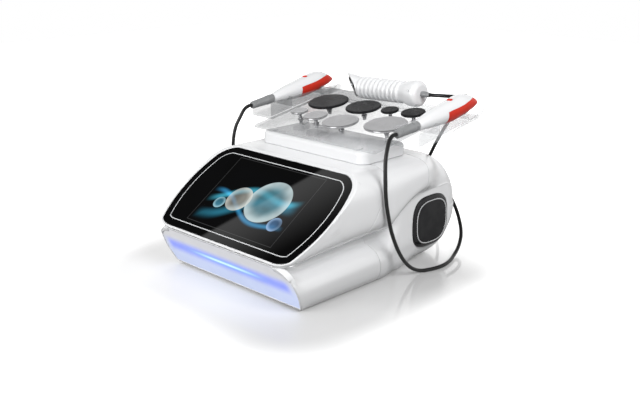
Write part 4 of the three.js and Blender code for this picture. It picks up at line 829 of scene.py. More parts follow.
def display_finish():
    """Lit display behind the glass: drifting waves of teal and blue, and pale translucent discs."""
    shader = new_finish(
        "display_picture", (0.001, 0.001, 0.001), 0.02, Emission_Strength=1, **GLASS_SHEEN,
    )
    place = panel_place(shader)
    u, v, _ = parts_of(place)
    picture = (0.0005, 0.0006, 0.001)
    for height, slope, width, phase, colour in WAVES:
        turn = math_of("ADD", product(u, WAVE_TURNS), phase)
        swing = product(math_of("SINE", turn), WAVE_SWING)
        middle = math_of("ADD", swing, height)
        middle = math_of("ADD", middle, product(u, slope))
        away = math_of("ABSOLUTE", math_of("SUBTRACT", v, middle))
        picture = mix_colours(spread(away, 1, 0, 0, width), picture, colour, "ADD")
    cloud = spread(noise_of(place, 34, 1.0), 0.6, 1.0, 0.3, 0.7)
    for centre, radius, inner, rim in BUBBLES:
        away = distance_to(u, v, centre)
        fill = spread(away, 1, 0, radius - 0.0006, radius + 0.0006)
        tint = mix_colours(spread(away, 0, 1, radius * 0.45, radius), inner, rim)
        share = product(fill, cloud, 0.85)
        picture = mix_colours(share, picture, tint)
    half_u = (DISPLAY_HALF - PICTURE_INSET) * MM
    half_v = ((DISPLAY_HIGH - DISPLAY_LOW) / 2 - PICTURE_INSET) * MM
    middle_v = (DISPLAY_LOW + DISPLAY_HIGH) / 2 * MM
    from_side = math_of("SUBTRACT", half_u, math_of("ABSOLUTE", u))
    up = math_of("SUBTRACT", v, middle_v)
    from_end = math_of("SUBTRACT", half_v, math_of("ABSOLUTE", up))
    inside = math_of("MINIMUM", from_side, from_end)
    fade = spread(inside, 0, 1, 0.002, 0.03)
    picture = mix_colours(fade, (0.0004, 0.0004, 0.0005), picture)
    line = spread(inside, 1, 0, 0.0005, 0.0012)
    feed(shader.inputs["Emission Color"], mix_colours(line, picture, (0.05, 0.05, 0.052)))
    vary_roughness(shader, object_place(shader), *GLASS_ROUGHNESS, 9)


def clear_acrylic_finish(tint):
    """Clear acrylic: nearly invisible face on, and milk-white where it is seen along its edge; denser and
    darker towards the left, which is painted shade.
    """
    shader = new_finish("clear_acrylic", tint, 0.06, IOR=1.49, Specular_IOR_Level=0.6)
    place = object_place(shader)
    facing = place_node(shader.id_data, "ShaderNodeLayerWeight", {"Blend": 0.3}).outputs["Facing"]
    dust = spread(noise_of(place, 25, 1.0), 0.0, 0.015)
    alpha = math_of("ADD", spread(facing, 0.24, 0.5, 0.1, 1.0), dust)
    across = parts_of(place)[0]
    # Painted shade: the acrylic covers more towards the left
    alpha_with_painted_shade = product(alpha, spread(across, 1.3, 0.75, -0.12, 0.12))
    shade = rays_of(shader)["Is Shadow Ray"]
    clear = spread(shade, 1.0, ACRYLIC_SHADE)
    feed(shader.inputs["Alpha"], product(alpha_with_painted_shade, clear))
    # Painted shade: the tint is darker towards the left and lighter towards the right
    painted_shade_share = spread(across, 0, 1, -0.14, 0.12)
    painted_shade_tint = mix_colours(painted_shade_share, scaled(tint, 0.62), scaled(tint, 1.45))
    feed(shader.inputs["Base Color"], painted_shade_tint)
    vary_roughness(shader, place, 0.05, 0.08, 20)


def steel_finish():
    """Polished steel with turning marks that run round each disc."""
    shader = new_finish("polished_steel", (0.46, 0.46, 0.47), 0.2, Metallic=1.0)
    round_it, outward, _ = parts_of(place_node(shader.id_data, "ShaderNodeUVMap", uv_map="Turned").outputs[0])
    ring = node_from("ShaderNodeCombineXYZ", {0: product(round_it, 3), 1: outward})
    stretched = vector_of("MULTIPLY", ring.outputs[0], (1, 2600, 1))[0]
    marks = noise_of(stretched, 1.0, 2.0)
    feed(shader.inputs["Roughness"], spread(marks, 0.14, 0.27))
    vary_colour(shader, object_place(shader), (0.45, 0.45, 0.46), (0.48, 0.48, 0.49), 40)
    raise_bumps(shader, marks, 0.05, 0.00005)


def brushed_finish(name, colour, roughness):
    """Drawn or cast metal with a fine streak along X."""
    shader = new_finish(name, colour, roughness, Metallic=1.0)
    place = object_place(shader)
    streak = noise_of(vector_of("MULTIPLY", place, (60, 1400, 1400))[0], 1.0, 2.0)
    feed(shader.inputs["Roughness"], spread(streak, roughness * 0.7, roughness * 1.35))
    vary_colour(shader, place, colour, scaled(colour, 0.93), 25)


def board_finish():
    """Circuit board: green lacquer over copper runs, with small pads."""
    shader = new_finish("circuit_board", (0.02, 0.16, 0.07), 0.35)
    place = object_place(shader)
    inputs = {"Vector": place, "Scale": 260.0}
    cells = node_from("ShaderNodeTexVoronoi", inputs, distance="CHEBYCHEV").outputs["Distance"]
    pads = spread(cells, 1, 0, 0.10, 0.16)
    runs = spread(noise_of(place, 120, 0.0), 0, 1, 0.49, 0.51)
    lacquer = mix_colours(runs, (0.012, 0.11, 0.05), (0.03, 0.20, 0.09))
    feed(shader.inputs["Base Color"], mix_colours(pads, lacquer, (0.55, 0.5, 0.4)))
    raise_bumps(shader, runs, 0.3, 0.0001)


def lead_finish():
    """Extruded black jacket with a soft sheen and a fine grain."""
    shader = new_finish("lead_rubber", (0.007, 0.007, 0.007), 0.36, Specular_IOR_Level=0.35)
    place = object_place(shader)
    vary_colour(shader, place, (0.006, 0.006, 0.006), (0.009, 0.009, 0.009), 30)
    vary_roughness(shader, place, 0.3, 0.42, 50)
    raise_bumps(shader, noise_of(place, 700, 2.0), 0.12, 0.0001)


def make_finishes(chosen):
    """Every finish, named for its slot or for the piece that alone has it."""
    for name, values in MOULDED.items():
        moulded_finish(name, *values)
    moulded_finish("red_rubber", tuple(chosen.red), 0.42, 0.06, 0.9, {"Specular_IOR_Level": 0.25})
    for name, values in BRUSHED.items():
        brushed_finish(name, *values)
    white_gloss_finish(tuple(chosen.white))
    frosted_panel_finish(chosen.glow)
    clear_acrylic_finish(tuple(chosen.acrylic))
    black_glass_finish()
    display_finish()
    steel_finish()
    board_finish()
    lead_finish()


# Settings a user would change

class MachineSizes(bpy.types.PropertyGroup):
    shell_wall: FloatProperty(
        name="Shell wall", description="Wall of the middle and rear mouldings in millimetres",
        default=2.2, min=1, max=3,
    )
    seam_edge: FloatProperty(
        name="Seam edge", description="Rounding of the mouldings' edges in millimetres",
        default=0.45, min=0.1, max=1,
    )
    rim_edge: FloatProperty(
        name="Rim edge", description="Rounding of the rim round the glass in millimetres",
        default=1.5, min=0.5, max=3,
    )
    clear_edge: FloatProperty(
        name="Clear edge", description="Polished edge of the clear plates in millimetres",
        default=0.7, min=0.2, max=1.5,
    )
    grip_ribs: IntProperty(name="Grip ribs", description="Ribs round the grip", default=10, min=4, max=16)
    lead_diameter: FloatProperty(
        name="Lead diameter", description="Diameter of the leads", default=0.006, min=0.003, max=0.009,
        subtype="DISTANCE", unit="LENGTH",
    )
    screw_radius: FloatProperty(
        name="Screw head radius", description="Radius of the rear panel's screw heads", default=0.0026,
        min=0.001, max=0.005, subtype="DISTANCE", unit="LENGTH",
    )
    floor_reach: FloatProperty(
        name="Floor reach", description="Half size of the floor", default=3.0, min=1, max=10,
        subtype="DISTANCE", unit="LENGTH",
    )


class MachineColours(bpy.types.PropertyGroup):
    white: FloatVectorProperty(
        name="White", description="Gloss white of the mouldings",
        default=(0.80, 0.805, 0.815), subtype="COLOR", min=0, max=1,
    )
    red: FloatVectorProperty(
        name="Red", description="Red of the bumpers and buttons",
        default=(0.60, 0.030, 0.014), subtype="COLOR", min=0, max=1,
    )
    acrylic: FloatVectorProperty(
        name="Acrylic", description="Tint of the clear tray",
        default=(0.36, 0.37, 0.38), subtype="COLOR", min=0, max=1,
    )
    floor: FloatVectorProperty(
        name="Floor", description="Colour of the floor",
        default=(0.60, 0.60, 0.60), subtype="COLOR", min=0, max=1,
    )
    glow: FloatProperty(
        name="Glow", description="Strength of the light behind the front panel", default=0.95, min=0, max=3,
    )


def sizes():
    return bpy.context.scene.machine_sizes


def colours():
    return bpy.context.scene.machine_colours


def finish_of(slot):
    return bpy.data.materials[f"{slot}_finish"]


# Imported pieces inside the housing, which stay as they are, and their finishes
KEPT_NODES = {
    "display_module": "black_plastic",
    "main_board": "circuit_board",
    "light_bar": "light_strip",
    "power_supply": "sheet_metal",
    "heat_sink": "bare_aluminium",
    "rf_board": "circuit_board",
}


class MACHINE_OT_finishes(bpy.types.Operator):
    """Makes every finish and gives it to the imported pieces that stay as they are"""

    bl_idname = "machine.finishes"
    bl_label = "Finishes"

    def execute(self, context):
        make_finishes(colours())
        for name, slot in KEPT_NODES.items():
            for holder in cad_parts[name].material_slots:
                holder.material = finish_of(slot)
        return {"FINISHED"}


# Camera and stage

CAMERA_PLACE = (996.4, -1001.1, 531.6)
CAMERA_AIM = (-0.6709, 0.6815, -0.2924)
CAMERA_LENS = 50.8
SENSOR_WIDTH = 36.0
# Floor: its painted light near the machine, its colour for light that bounces, and its mirror
FLOOR_LIFT = 0.3
FLOOR_BOUNCE = (0.10, 0.10, 0.10)
MIRROR_LEVEL = 1.0
MIRROR_IOR = 2.2
MIRROR_ROUGHNESS = 0.03
# Half size of the ground that the machine covers, in metres
GROUND_HALF = (0.15, 0.2, 0)
WHITE_LIGHT = (1, 1, 1, 1)
WORLD_LEVEL = 0.27
# Mirrored sky: its level high up, and in the patch which the touch glass mirrors
SKY_HIGH = 0.35
SKY_DARK = 0.03
DARK_SKY_WAY = (-0.671, -0.010, 0.741)
# The glare on the glass ends along the plane through the origin with this normal
GLARE_NORMAL = (0.5041, -0.7131, 0.4871)
GLARE_LEVEL = 0.6
# These lamps aren't mirrored, so that the touch glass and the discs never turn white
HIDDEN_LAMPS = ("Key lamp", "Back lamp")
LAMPS = (
    ("Key lamp", (1.6, -0.3, 1.42), (0, 0, 0.1), (1.0, 1.0), 31),
    ("Side lamp", (1.9, 0.5, 1.3), (0, 0, 0.1), (1.0, 1.0), 3),
    ("Front lamp", (-0.2, -1.8, 0.85), (0, 0, 0.1), (1.2, 1.2), 26),
    ("Back lamp", (-1.3, 1.5, 1.2), (0, 0, 0.1), (1.2, 1.2), 18),
)


def make_floor():
    reach = sizes().floor_reach
    form = bmesh.new()
    bmesh.ops.create_grid(form, x_segments=1, y_segments=1, size=reach)
    floor_finish()
    floor = add_piece("floor", form, "floor")


def floor_finish():
    """Pale floor that mirrors the machine; away from it the camera sees the white backdrop."""
    pale = tuple(colours().floor)
    shader = new_finish(
        "floor", pale, 0.4, Specular_IOR_Level=0.1, Emission_Color=WHITE_LIGHT,
        Coat_IOR=MIRROR_IOR, Coat_Roughness=MIRROR_ROUGHNESS,
    )
    place = object_place(shader)
    vary_roughness(shader, place, 0.36, 0.44, 3)
    path = rays_of(shader)
    bounce = mix_colours(path["Is Diffuse Ray"], pale, FLOOR_BOUNCE)
    feed(shader.inputs["Base Color"], bounce)
    seen = math_of("MAXIMUM", path["Is Camera Ray"], path["Is Transmission Ray"])
    aside, behind, _ = parts_of(place)
    # Painted light: for the camera the floor glows more to the left of the machine and behind it, which
    # lightens the machine's shadow there, and less to its right, where the mirror shows
    near = spread(aside, FLOOR_LIFT, 0.08, 0.0, 0.2)
    near = math_of("ADD", near, spread(behind, 0, 0.5, 0.1, 0.22))
    outside = vector_of("SUBTRACT", vector_of("ABSOLUTE", place)[0], GROUND_HALF)[0]
    outside = vector_of("MAXIMUM", outside, (0, 0, 0))[0]
    beyond = vector_of("LENGTH", outside)["Value"]
    in_front = spread(behind, 0.25, 1, -0.22, -0.12)
    mirror = product(spread(beyond, MIRROR_LEVEL, 0, 0.02, 0.14), in_front)
    feed(shader.inputs["Coat Weight"], mirror)
    lift = mix_values(spread(beyond, 0, 1, 0.06, 0.2), near, 1.0)
    feed(shader.inputs["Emission Strength"], product(seen, lift))


def make_lamps(scene):
    for name, place, aim, size, power in LAMPS:
        data = bpy.data.lights.new(name, "AREA")
        data.shape = "RECTANGLE"
        data.size, data.size_y = size
        data.energy = power
        lamp = bpy.data.objects.new(name, data)
        lamp.location = place
        lamp.visible_glossy = name not in HIDDEN_LAMPS
        lamp.rotation_euler = (Vector(aim) - Vector(place)).to_track_quat("-Z", "Y").to_euler()
        scene.collection.objects.link(lamp)


def make_world(scene):
    world = bpy.data.worlds.new("Studio")
    world.use_nodes = True
    sky = world.node_tree.nodes["Background"]
    sky.inputs["Color"].default_value = WHITE_LIGHT
    path = rays_of(sky)
    seen = math_of("MAXIMUM", path["Is Camera Ray"], path["Is Transmission Ray"])
    way = place_node(sky.id_data, "ShaderNodeTexCoord").outputs["Generated"]
    facing = vector_of("DOT_PRODUCT", way, DARK_SKY_WAY)["Value"]
    high = mix_values(spread(facing, 0, 1, 0.7, 0.88), SKY_HIGH, SKY_DARK)
    rise = parts_of(way)[2]
    mirrored = mix_values(spread(rise, 0, 1, 0.44, 0.62), 1.0, high)
    inward = vector_of("DOT_PRODUCT", way, GLARE_NORMAL)["Value"]
    edge = spread(inward, 0, 1, 0, 0.004)
    glare = product(edge, spread(inward, 1, 0, 0, 0.07), GLARE_LEVEL)
    mirrored = math_of("MAXIMUM", mirrored, glare)
    strength = mix_values(path["Is Glossy Ray"], WORLD_LEVEL, mirrored)
    feed(sky.inputs["Strength"], mix_values(seen, strength, 1.0))
    scene.world = world


class MACHINE_OT_stage(bpy.types.Operator):
    """Makes the camera, the floor, the lamps and the world"""

    bl_idname = "machine.stage"
    bl_label = "Stage"

    def execute(self, context):
        scene = context.scene
        camera_data = bpy.data.cameras.new("Camera")
        camera_data.sensor_width = SENSOR_WIDTH
        camera_data.lens = CAMERA_LENS
        camera_data.clip_start = 0.01
        camera = bpy.data.objects.new("Camera", camera_data)
        camera.location = placed(*CAMERA_PLACE)
        camera.rotation_euler = Vector(CAMERA_AIM).to_track_quat("-Z", "Y").to_euler()
        scene.collection.objects.link(camera)
        scene.camera = camera
        scene.view_settings.view_transform = "Standard"
        make_floor()
        make_lamps(scene)
        make_world(scene)
        return {"FINISHED"}


# Leads

ROUTE_STEP = 2.2
ROUTE_PARTS = 24


def between(a, b, start, end, t):
    """The point at t on the line that is at a at the start and at b at the end."""
    return a * ((end - t) / (end - start)) + b * ((t - start) / (end - start))


def smooth_route(points):
    """A centripetal curve through the points, sampled evenly, and its length."""
    places = [Vector(point) for point in points]
    places = [places[0] * 2 - places[1], *places, places[-1] * 2 - places[-2]]
    dense = []
    for a, b, c, d in zip(places, places[1:], places[2:], places[3:]):
        t0 = 0.0
        t1 = math.sqrt((b - a).length)
        t2 = t1 + math.sqrt((c - b).length)
        t3 = t2 + math.sqrt((d - c).length)
        for k in range(ROUTE_PARTS):
            t = mix(t1, t2, k / ROUTE_PARTS)
            bc = between(b, c, t1, t2, t)
            abc = between(between(a, b, t0, t1, t), bc, t0, t2, t)
            bcd = between(bc, between(c, d, t2, t3, t), t1, t3, t)
            dense.append(between(abc, bcd, t1, t2, t))
    dense.append(places[-2])
    total = sum((b - a).length for a, b in zip(dense, dense[1:]))
    count = round(total / ROUTE_STEP)
    result = [dense[0]]
    gone = 0.0
    goal = total / count
    for a, b in zip(dense, dense[1:]):
        length = (b - a).length
        while gone + length >= goal * len(result) and len(result) < count:
            result.append(a.lerp(b, (goal * len(result) - gone) / length))
        gone += length
    result.append(dense[-1])
    return result, total


TUBE_SIDES = 20


def tube(name, route, radius, finish):
    """A closed tube along a route in millimetres, carried without twist."""
    form = bmesh.new()
    layer = form.loops.layers.uv.new("Along")
    tangents = []
    for i in range(len(route)):
        a, b = route[max(0, i - 1)], route[min(len(route) - 1, i + 1)]
        tangents.append((b - a).normalized())
    normal = tangents[0].orthogonal().normalized()
    rings = []
    for i, (point, tangent) in enumerate(zip(route, tangents)):
        if i:
            normal = tangents[i - 1].rotation_difference(tangent) @ normal
        side = tangent.cross(normal).normalized()
        normal = side.cross(tangent).normalized()
        ring = []
        for k in range(TUBE_SIDES):
            angle = 2 * math.pi * k / TUBE_SIDES
            outward = normal * math.cos(angle) + side * math.sin(angle)
            ring.append(form.verts.new((point + outward * radius) * MM))
        rings.append(ring)
    wrap_rings(form, rings, layer, [k / 10 for k in range(len(rings))])
    fan_fill(form, rings[0])
    fan_fill(form, rings[-1])
    close_up(form)
    return add_piece(name, form, finish, SHARP_ROUND)


HAND_LEAD_ROUTE = (
    (161.5, 7.7, 233.7), (161.5, 1, 233.6), (162.4, -8, 228.8), (165, -16.5, 215), (168, -23, 201),
    (171, -26.5, 181), (172.5, -27, 158), (173, -24.5, 134.5), (173, -20.5, 118),
    (172.5, -12.5, 92.5), (171.5, -1, 68.5), (170, 13.5, 46), (168.5, 31, 26), (168, 50, 11.5),
    (170, 67, 4.4), (175.5, 83, 3.4), (179.5, 103, 3.4), (178.5, 122, 3.4), (173.5, 141, 3.6),
    (166.5, 159, 5), (161, 175, 9), (156, 188, 15.5), (150, 200, 25), (142, 209.5, 35.5),
    (131, 219, 46), (117, 229, 58), (101, 237, 71), (88.5, 240, 82), (79.5, 236, 90),
    (76.4, 228.5, 92), (76, 221.3, 92),
)
GRIP_LEAD_ROUTE = (
    (100.6, 164.5, 264.6), (109, 164.8, 265), (119, 166.8, 265.6), (129, 171.5, 265.6),
    (136, 179.5, 265), (139.5, 190, 263.4), (138.5, 201, 260.8), (133.5, 211.5, 256.5),
    (124, 220.5, 249), (112, 228, 238), (98, 234, 223), (85, 238, 206), (72, 241, 188),
    (59, 243.5, 168), (46.5, 245.5, 146), (34.5, 247.5, 122), (24, 249.5, 97), (15.5, 251.5, 71),
    (11, 253.5, 45), (12, 255, 22), (20, 256, 7), (34, 256.5, 3.6), (48, 257, 9), (57.5, 257, 25),
    (61, 255.5, 46), (58.5, 251.5, 68), (52, 244.5, 84.5), (46, 234.5, 91.5), (44, 227, 92),
    (44, 221.3, 92),
)
PLUG_START = 193.6
PLUG_PROFILE = (
    (0, -5), (4.6, -5), (4.6, 0), (6.6, 0.1), (7, 0.6), (7, 3), (6.5, 3.4), (6.5, 4.2), (7, 4.6),
    (7, 6.6), (6.5, 7), (6.5, 7.8), (7, 8.2), (7, 11.6), (6.2, 14.4), (4.6, 18), (3.9, 20),
    (3.9, 21.4), (3.45, 21.8), (3.45, 22.6), (3.85, 23), (3.8, 24), (3.4, 24.4), (3.4, 25.2),
    (3.6, 25.6), (3.3, 27), (0, 27),
)


def make_lead(side, points, socket):
    route, length = smooth_route(points)
    diameter = sizes().lead_diameter
    lead = tube(f"{side}_lead_jacket", route, diameter / MM / 2, "lead_rubber")
    seat = (socket, PLUG_START, SOCKET_Z)
    plug = lathe(f"{side}_plug_moulding", PLUG_PROFILE, seat, (0, 1, 0), "lead_rubber", 40)
    dress(plug, "housing", [f"{side}_plug"])
    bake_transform(lead)
    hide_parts(f"{side}_lead")


class MACHINE_OT_leads(bpy.types.Operator):
    """Makes the three leads and their plugs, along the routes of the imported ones"""

    bl_idname = "machine.leads"
    bl_label = "Leads"

    def execute(self, context):
        mirrored = [(-x, y, z) for x, y, z in HAND_LEAD_ROUTE]
        make_lead("left", mirrored, -76)
        make_lead("right", HAND_LEAD_ROUTE, 76)
        make_lead("grip", GRIP_LEAD_ROUTE, 44)
        return {"FINISHED"}


# Housing

SIDE_ROWS_LOW = 18
SIDE_ROWS_HIGH = 26
LEDGE = 6.0
FOOT_EDGE = 1.0
FACE_EDGE = 2.2
# Walls of the two front mouldings, which follow tight curves, are thinner than the others
UPPER_WALL = 1.5
BASE_WALL = 1.4
FLAT_MARKS = (0, 24, 48, 70, TUB_HALF)


def shoulder_rise(share):
    """Share of the way up the shoulder, at equal turns round it."""
    return math.sin(share * QUARTER_TURN) ** (2 / SHOULDER_POWER)


def row_shares(bulge_share):
    """Heights of the rows up an upper moulding's side, as shares."""
    low = [bulge_share * i / SIDE_ROWS_LOW for i in range(SIDE_ROWS_LOW)]
    high = [mix(bulge_share, 1, shoulder_rise(i / SIDE_ROWS_HIGH)) for i in range(SIDE_ROWS_HIGH + 1)]
    return low + high


def upper_side(y, z):
    """Half width of the front upper moulding: its side, held within the rim of the panel."""
    wide = upper_half_width(y, z)
    v = panel_v(y, z)
    if v >= GLASS_MIDDLE:
        return wide
    return soft_min(wide, panel_half_width(max(v, GLASS_LOW - PANEL_RIM), PANEL_RIM), 4)


def side_column(foot, head, shares, width_at):
    """Points up a side from its foot to its head, both (y, z)."""
    column = []
    for share in shares:
        y = mix(foot[0], head[0], share)
        z = mix(foot[1], head[1], share)
        column.append((width_at(y, z), y, z))
    return column


def inside_of(point):
    """The place on a ledge's inner edge that belongs to a point on a side."""
    return (point[0] - LEDGE, point[1], point[2])


def turn_in_foot(column):
    """Rounds the lower edge of a column and runs a ledge inwards from it."""
    foot = column[0]
    inward = inside_of(foot)
    along = toward(foot, column[4], FOOT_EDGE)
    across = toward(foot, inward, FOOT_EDGE)
    kept = [point for point in column if math.dist(point, foot) > FOOT_EDGE * 1.2]
    return [inward, *rounded_corner(across, foot, along), *kept]


def upper_heads():
    """Places of the rim from the middle of the nose to the back, and the v at which it ends.

    Each is (x, v, low): x is given along the nose only, and low falls from 1 to 0 up the lower corner.
    """
    v0 = GLASS_LOW - PANEL_RIM
    nose = panel_half_width(v0, PANEL_RIM)
    heads = [(nose * i / 12, v0, 1.0) for i in range(13)]
    corner = LOW_CORNER[1] + PANEL_RIM
    for i in range(1, 15):
        low = math.cos(QUARTER_TURN * i / 14)
        heads.append((None, GLASS_LOW + LOW_CORNER[1] - corner * low, low))
    start = GLASS_LOW + LOW_CORNER[1]
    bulge_v = (BULGE_HEIGHT_FRONT - PANEL_Z) / math.sin(PANEL_TILT)
    for i in range(1, 19):
        heads.append((None, mix(start, bulge_v, i / 18), 0.0))
    fold_v = (TOP_HEIGHT - PANEL_Z) / math.sin(PANEL_TILT)
    for i in range(1, 27):
        heads.append((None, mix(bulge_v, fold_v, shoulder_rise(i / 26)), 0.0))
    return heads, fold_v


def glass_edge(head, fold_v, grow, nose):
    """Place on the outline of the glass seat that faces a place on the rim."""
    x, v, low = head
    if x is not None:
        return x * panel_half_width(GLASS_LOW - grow, grow) / nose, GLASS_LOW - grow
    if low > 0:
        v_in = GLASS_LOW + LOW_CORNER[1] - (LOW_CORNER[1] + grow) * low
        return panel_half_width(v_in, grow), v_in
    corner_start = GLASS_HIGH - HIGH_CORNER[1]
    if v <= corner_start:
        return panel_half_width(v, grow), v
    turn = QUARTER_TURN * clamp((v - corner_start) / (fold_v - corner_start)) ** 0.8
    v_in = corner_start + (HIGH_CORNER[1] + grow) * math.sin(turn)
    return panel_half_width(v_in, grow), v_in


def with_rim(column, inner, edge):
    """Adds the rounded rim, the seat wall and the shelf under the glass to a column."""
    head = column[-1]
    rim_goal = panel_point(*inner)
    rounded = rounded_corner(toward(head, column[-8], edge), head, toward(head, rim_goal, edge), 4)
    lip = toward(rim_goal, head, SEAT_EDGE)
    wall_top = panel_point(*inner, -SEAT_EDGE)
    wall_foot = panel_point(*inner, -SEAT_DEPTH)
    shelf = toward(wall_foot, panel_point(0, GLASS_MIDDLE, -SEAT_DEPTH), LEDGE)
    kept = [point if math.dist(point, head) > edge * 1.1 else rounded[0] for point in column[:-1]]
    return [*kept, *rounded, lip, wall_top, wall_foot, shelf]


def lay_top(form, plain, last_rim, fold_v):
    """Flat top behind the glass, folded softly to the plane of the panel."""
    fold_y = panel_point(0, fold_v)[1]
    corner_u = last_rim[-3][0]
    edge_v = GLASS_HIGH + GLASS_GAP
    rows = []
    for step in range(9):
        share = 1 - step / 8
        x, u = SHOULDER_HALF * share, corner_u * share
        fold = (x, fold_y, TOP_HEIGHT)
        shelf = panel_point(u * 0.97, edge_v - LEDGE, -SEAT_DEPTH)
        glass = panel_point(u, edge_v)
        lip = toward(glass, fold, SEAT_EDGE)
        soft = 3 * (1 - share**6)
        behind = toward(fold, (x, 0, TOP_HEIGHT), soft)
        row = [shelf, panel_point(u, edge_v, -SEAT_DEPTH), panel_point(u, edge_v, -SEAT_EDGE), lip]
        row += rounded_corner(toward(fold, glass, soft), fold, behind, 4)
        row += [(x, column[-1][1], TOP_HEIGHT) for column in plain[1:]]
        rows.append(row)
    lay_grid(form, rows)


class MACHINE_OT_upper_moulding(bpy.types.Operator):
    """Makes the front upper moulding, with the rim and the seat of the glass"""

    bl_idname = "machine.upper_moulding"
    bl_label = "Front upper moulding"

    def execute(self, context):
        form = bmesh.new()
        heads, fold_v = upper_heads()
        nose = panel_half_width(GLASS_LOW - PANEL_RIM, PANEL_RIM)
        shares = row_shares((BULGE_HEIGHT_FRONT - LIP_HEIGHT) / (TOP_HEIGHT - LIP_HEIGHT))
        turn_head = panel_point(0, GLASS_LOW + LOW_CORNER[1])
        drop = turn_head[2] - FACE_TOP_Z
        turn_foot_y = turn_head[1] + drop * math.tan(PANEL_TILT)
        rim = sizes().rim_edge
        columns = []
        for head in heads:
            x, v, _ = head
            top = panel_point(0, v)
            if v <= GLASS_LOW + LOW_CORNER[1] + WELD:
                foot_y = top[1] + (top[2] - FACE_TOP_Z) * math.tan(PANEL_TILT)
            else:
                foot_y = mix(turn_foot_y, SEAM_LIP_Y, (top[1] - turn_head[1]) / (SEAM_TOP_Y - turn_head[1]))
            foot = (foot_y, lip_height(foot_y) + SEAM_HALF)
            if x is not None:
                column = [(x, mix(foot[0], top[1], share), mix(foot[1], top[2], share)) for share in shares]
            else:
                column = side_column(foot, top[1:], shares, upper_side)
            inner = glass_edge(head, fold_v, GLASS_GAP, nose)
            columns.append(with_rim(column, inner, rim * clamp((fold_v - v) / 7)))
        for i in range(1, 15):
            y = mix(panel_point(0, fold_v)[1], SEAM_TOP_Y - SEAM_HALF, i / 14)
            foot_y = mix(turn_foot_y, SEAM_LIP_Y, (y - turn_head[1]) / (SEAM_TOP_Y - turn_head[1]))
            foot = (foot_y, lip_height(foot_y) + SEAM_HALF)
            columns.append(side_column(foot, (y, TOP_HEIGHT), shares, upper_side))
        rimmed = [column for column in columns if len(column) > len(shares)]
        plain = [rimmed[-1][:len(shares)]] + columns[len(rimmed):]
        for part in (rimmed, plain):
            lay_grid(form, [turn_in_foot(column) for column in part])
        lay_top(form, plain, rimmed[-1], fold_v)
        dress(moulding("upper_moulding", form, UPPER_WALL), "housing", ["upper_shell"])
        return {"FINISHED"}


class MACHINE_OT_middle_moulding(bpy.types.Operator):
    """Makes the band of the upper moulding between the leaning seam and the upright one"""

    bl_idname = "machine.middle_moulding"
    bl_label = "Middle upper moulding"

    def execute(self, context):
        form = bmesh.new()
        columns = []
        for i in range(45):
            share = i / 44
            foot_y = mix(SEAM_LIP_Y + SEAM_HALF, SEAM_REAR_Y - SEAM_HALF, share)
            head_y = mix(SEAM_TOP_Y + SEAM_HALF, SEAM_REAR_Y - SEAM_HALF, share)
            foot_z = crease_height(foot_y) + SEAM_HALF
            middle_y = (foot_y + head_y) / 2
            bulge = mix(BULGE_HEIGHT_FRONT, BULGE_HEIGHT_REAR, crease_share(middle_y))
            shares = row_shares((bulge - foot_z) / (TOP_HEIGHT - foot_z))
            column = side_column((foot_y, foot_z), (head_y, TOP_HEIGHT), shares, upper_half_width)
            columns.append(turn_in_foot(column))
        lay_grid(form, columns)
        heads = [column[-1][1] for column in columns]
        lay_grid(form, [[(SHOULDER_HALF * k / 8, y, TOP_HEIGHT) for k in range(9)] for y in heads])
        dress(moulding("middle_moulding", form, sizes().shell_wall), "housing", ["middle_shell"])
        return {"FINISHED"}


def moulding(name, form, wall, middle=HOUSING_MIDDLE):
    """A white moulding with its wall, from the skin of its outside."""
    close_up(form, middle)
    piece = add_piece(name, form, "white_gloss")
    return thicken(piece, wall, sizes().seam_edge, sharp=SHARP_MOULDING)


def lower_rows():
    """Heights of the rows up a lower moulding, close together at its edges and its neck."""
    marks = ((0, 0.06, 4), (0.06, 0.6, 16), (0.6, 0.84, 14), (0.84, 0.96, 3), (0.96, 1, 4))
    rows = [0.0]
    for start, end, count in marks:
        rows += [mix(start, end, (i + 1) / count) for i in range(count)]
    return rows


def lower_point(y_at, share):
    """A place on a lower moulding's side; y depends on the height, and the height a little on y."""
    z = mix(FLOOR_GAP, LIP_HEIGHT, share)
    y = y_at(z)
    for _ in range(3):
        z = mix(bottom_height(y), crease_now(y), share)
        y = y_at(z)
    top = crease_now(y) - SEAM_HALF
    return (lower_half_width(y, share), y, min(z, top))


def flat_run(end):
    """Points from the middle out to the edge of a flat run, one of them at the edge of the opening."""
    return [(min(mark, end[0]), end[1], end[2]) for mark in FLAT_MARKS]


def lower_section(column):
    """A column with its run along the floor and the ledge at its top."""
    return [*flat_run(column[0]), *column, inside_of(column[-1])]


def face_outline(rows, margin):
    """Outline of the lit face, drawn in by a margin within its own plane."""
    low, high = FLOOR_GAP + margin, FACE_TOP_Z - SEAM_HALF - margin
    heights = [mix(low, high, row) for row in rows]
    return [(face_half_width(z) - margin, face_y(z), z) for z in heights]


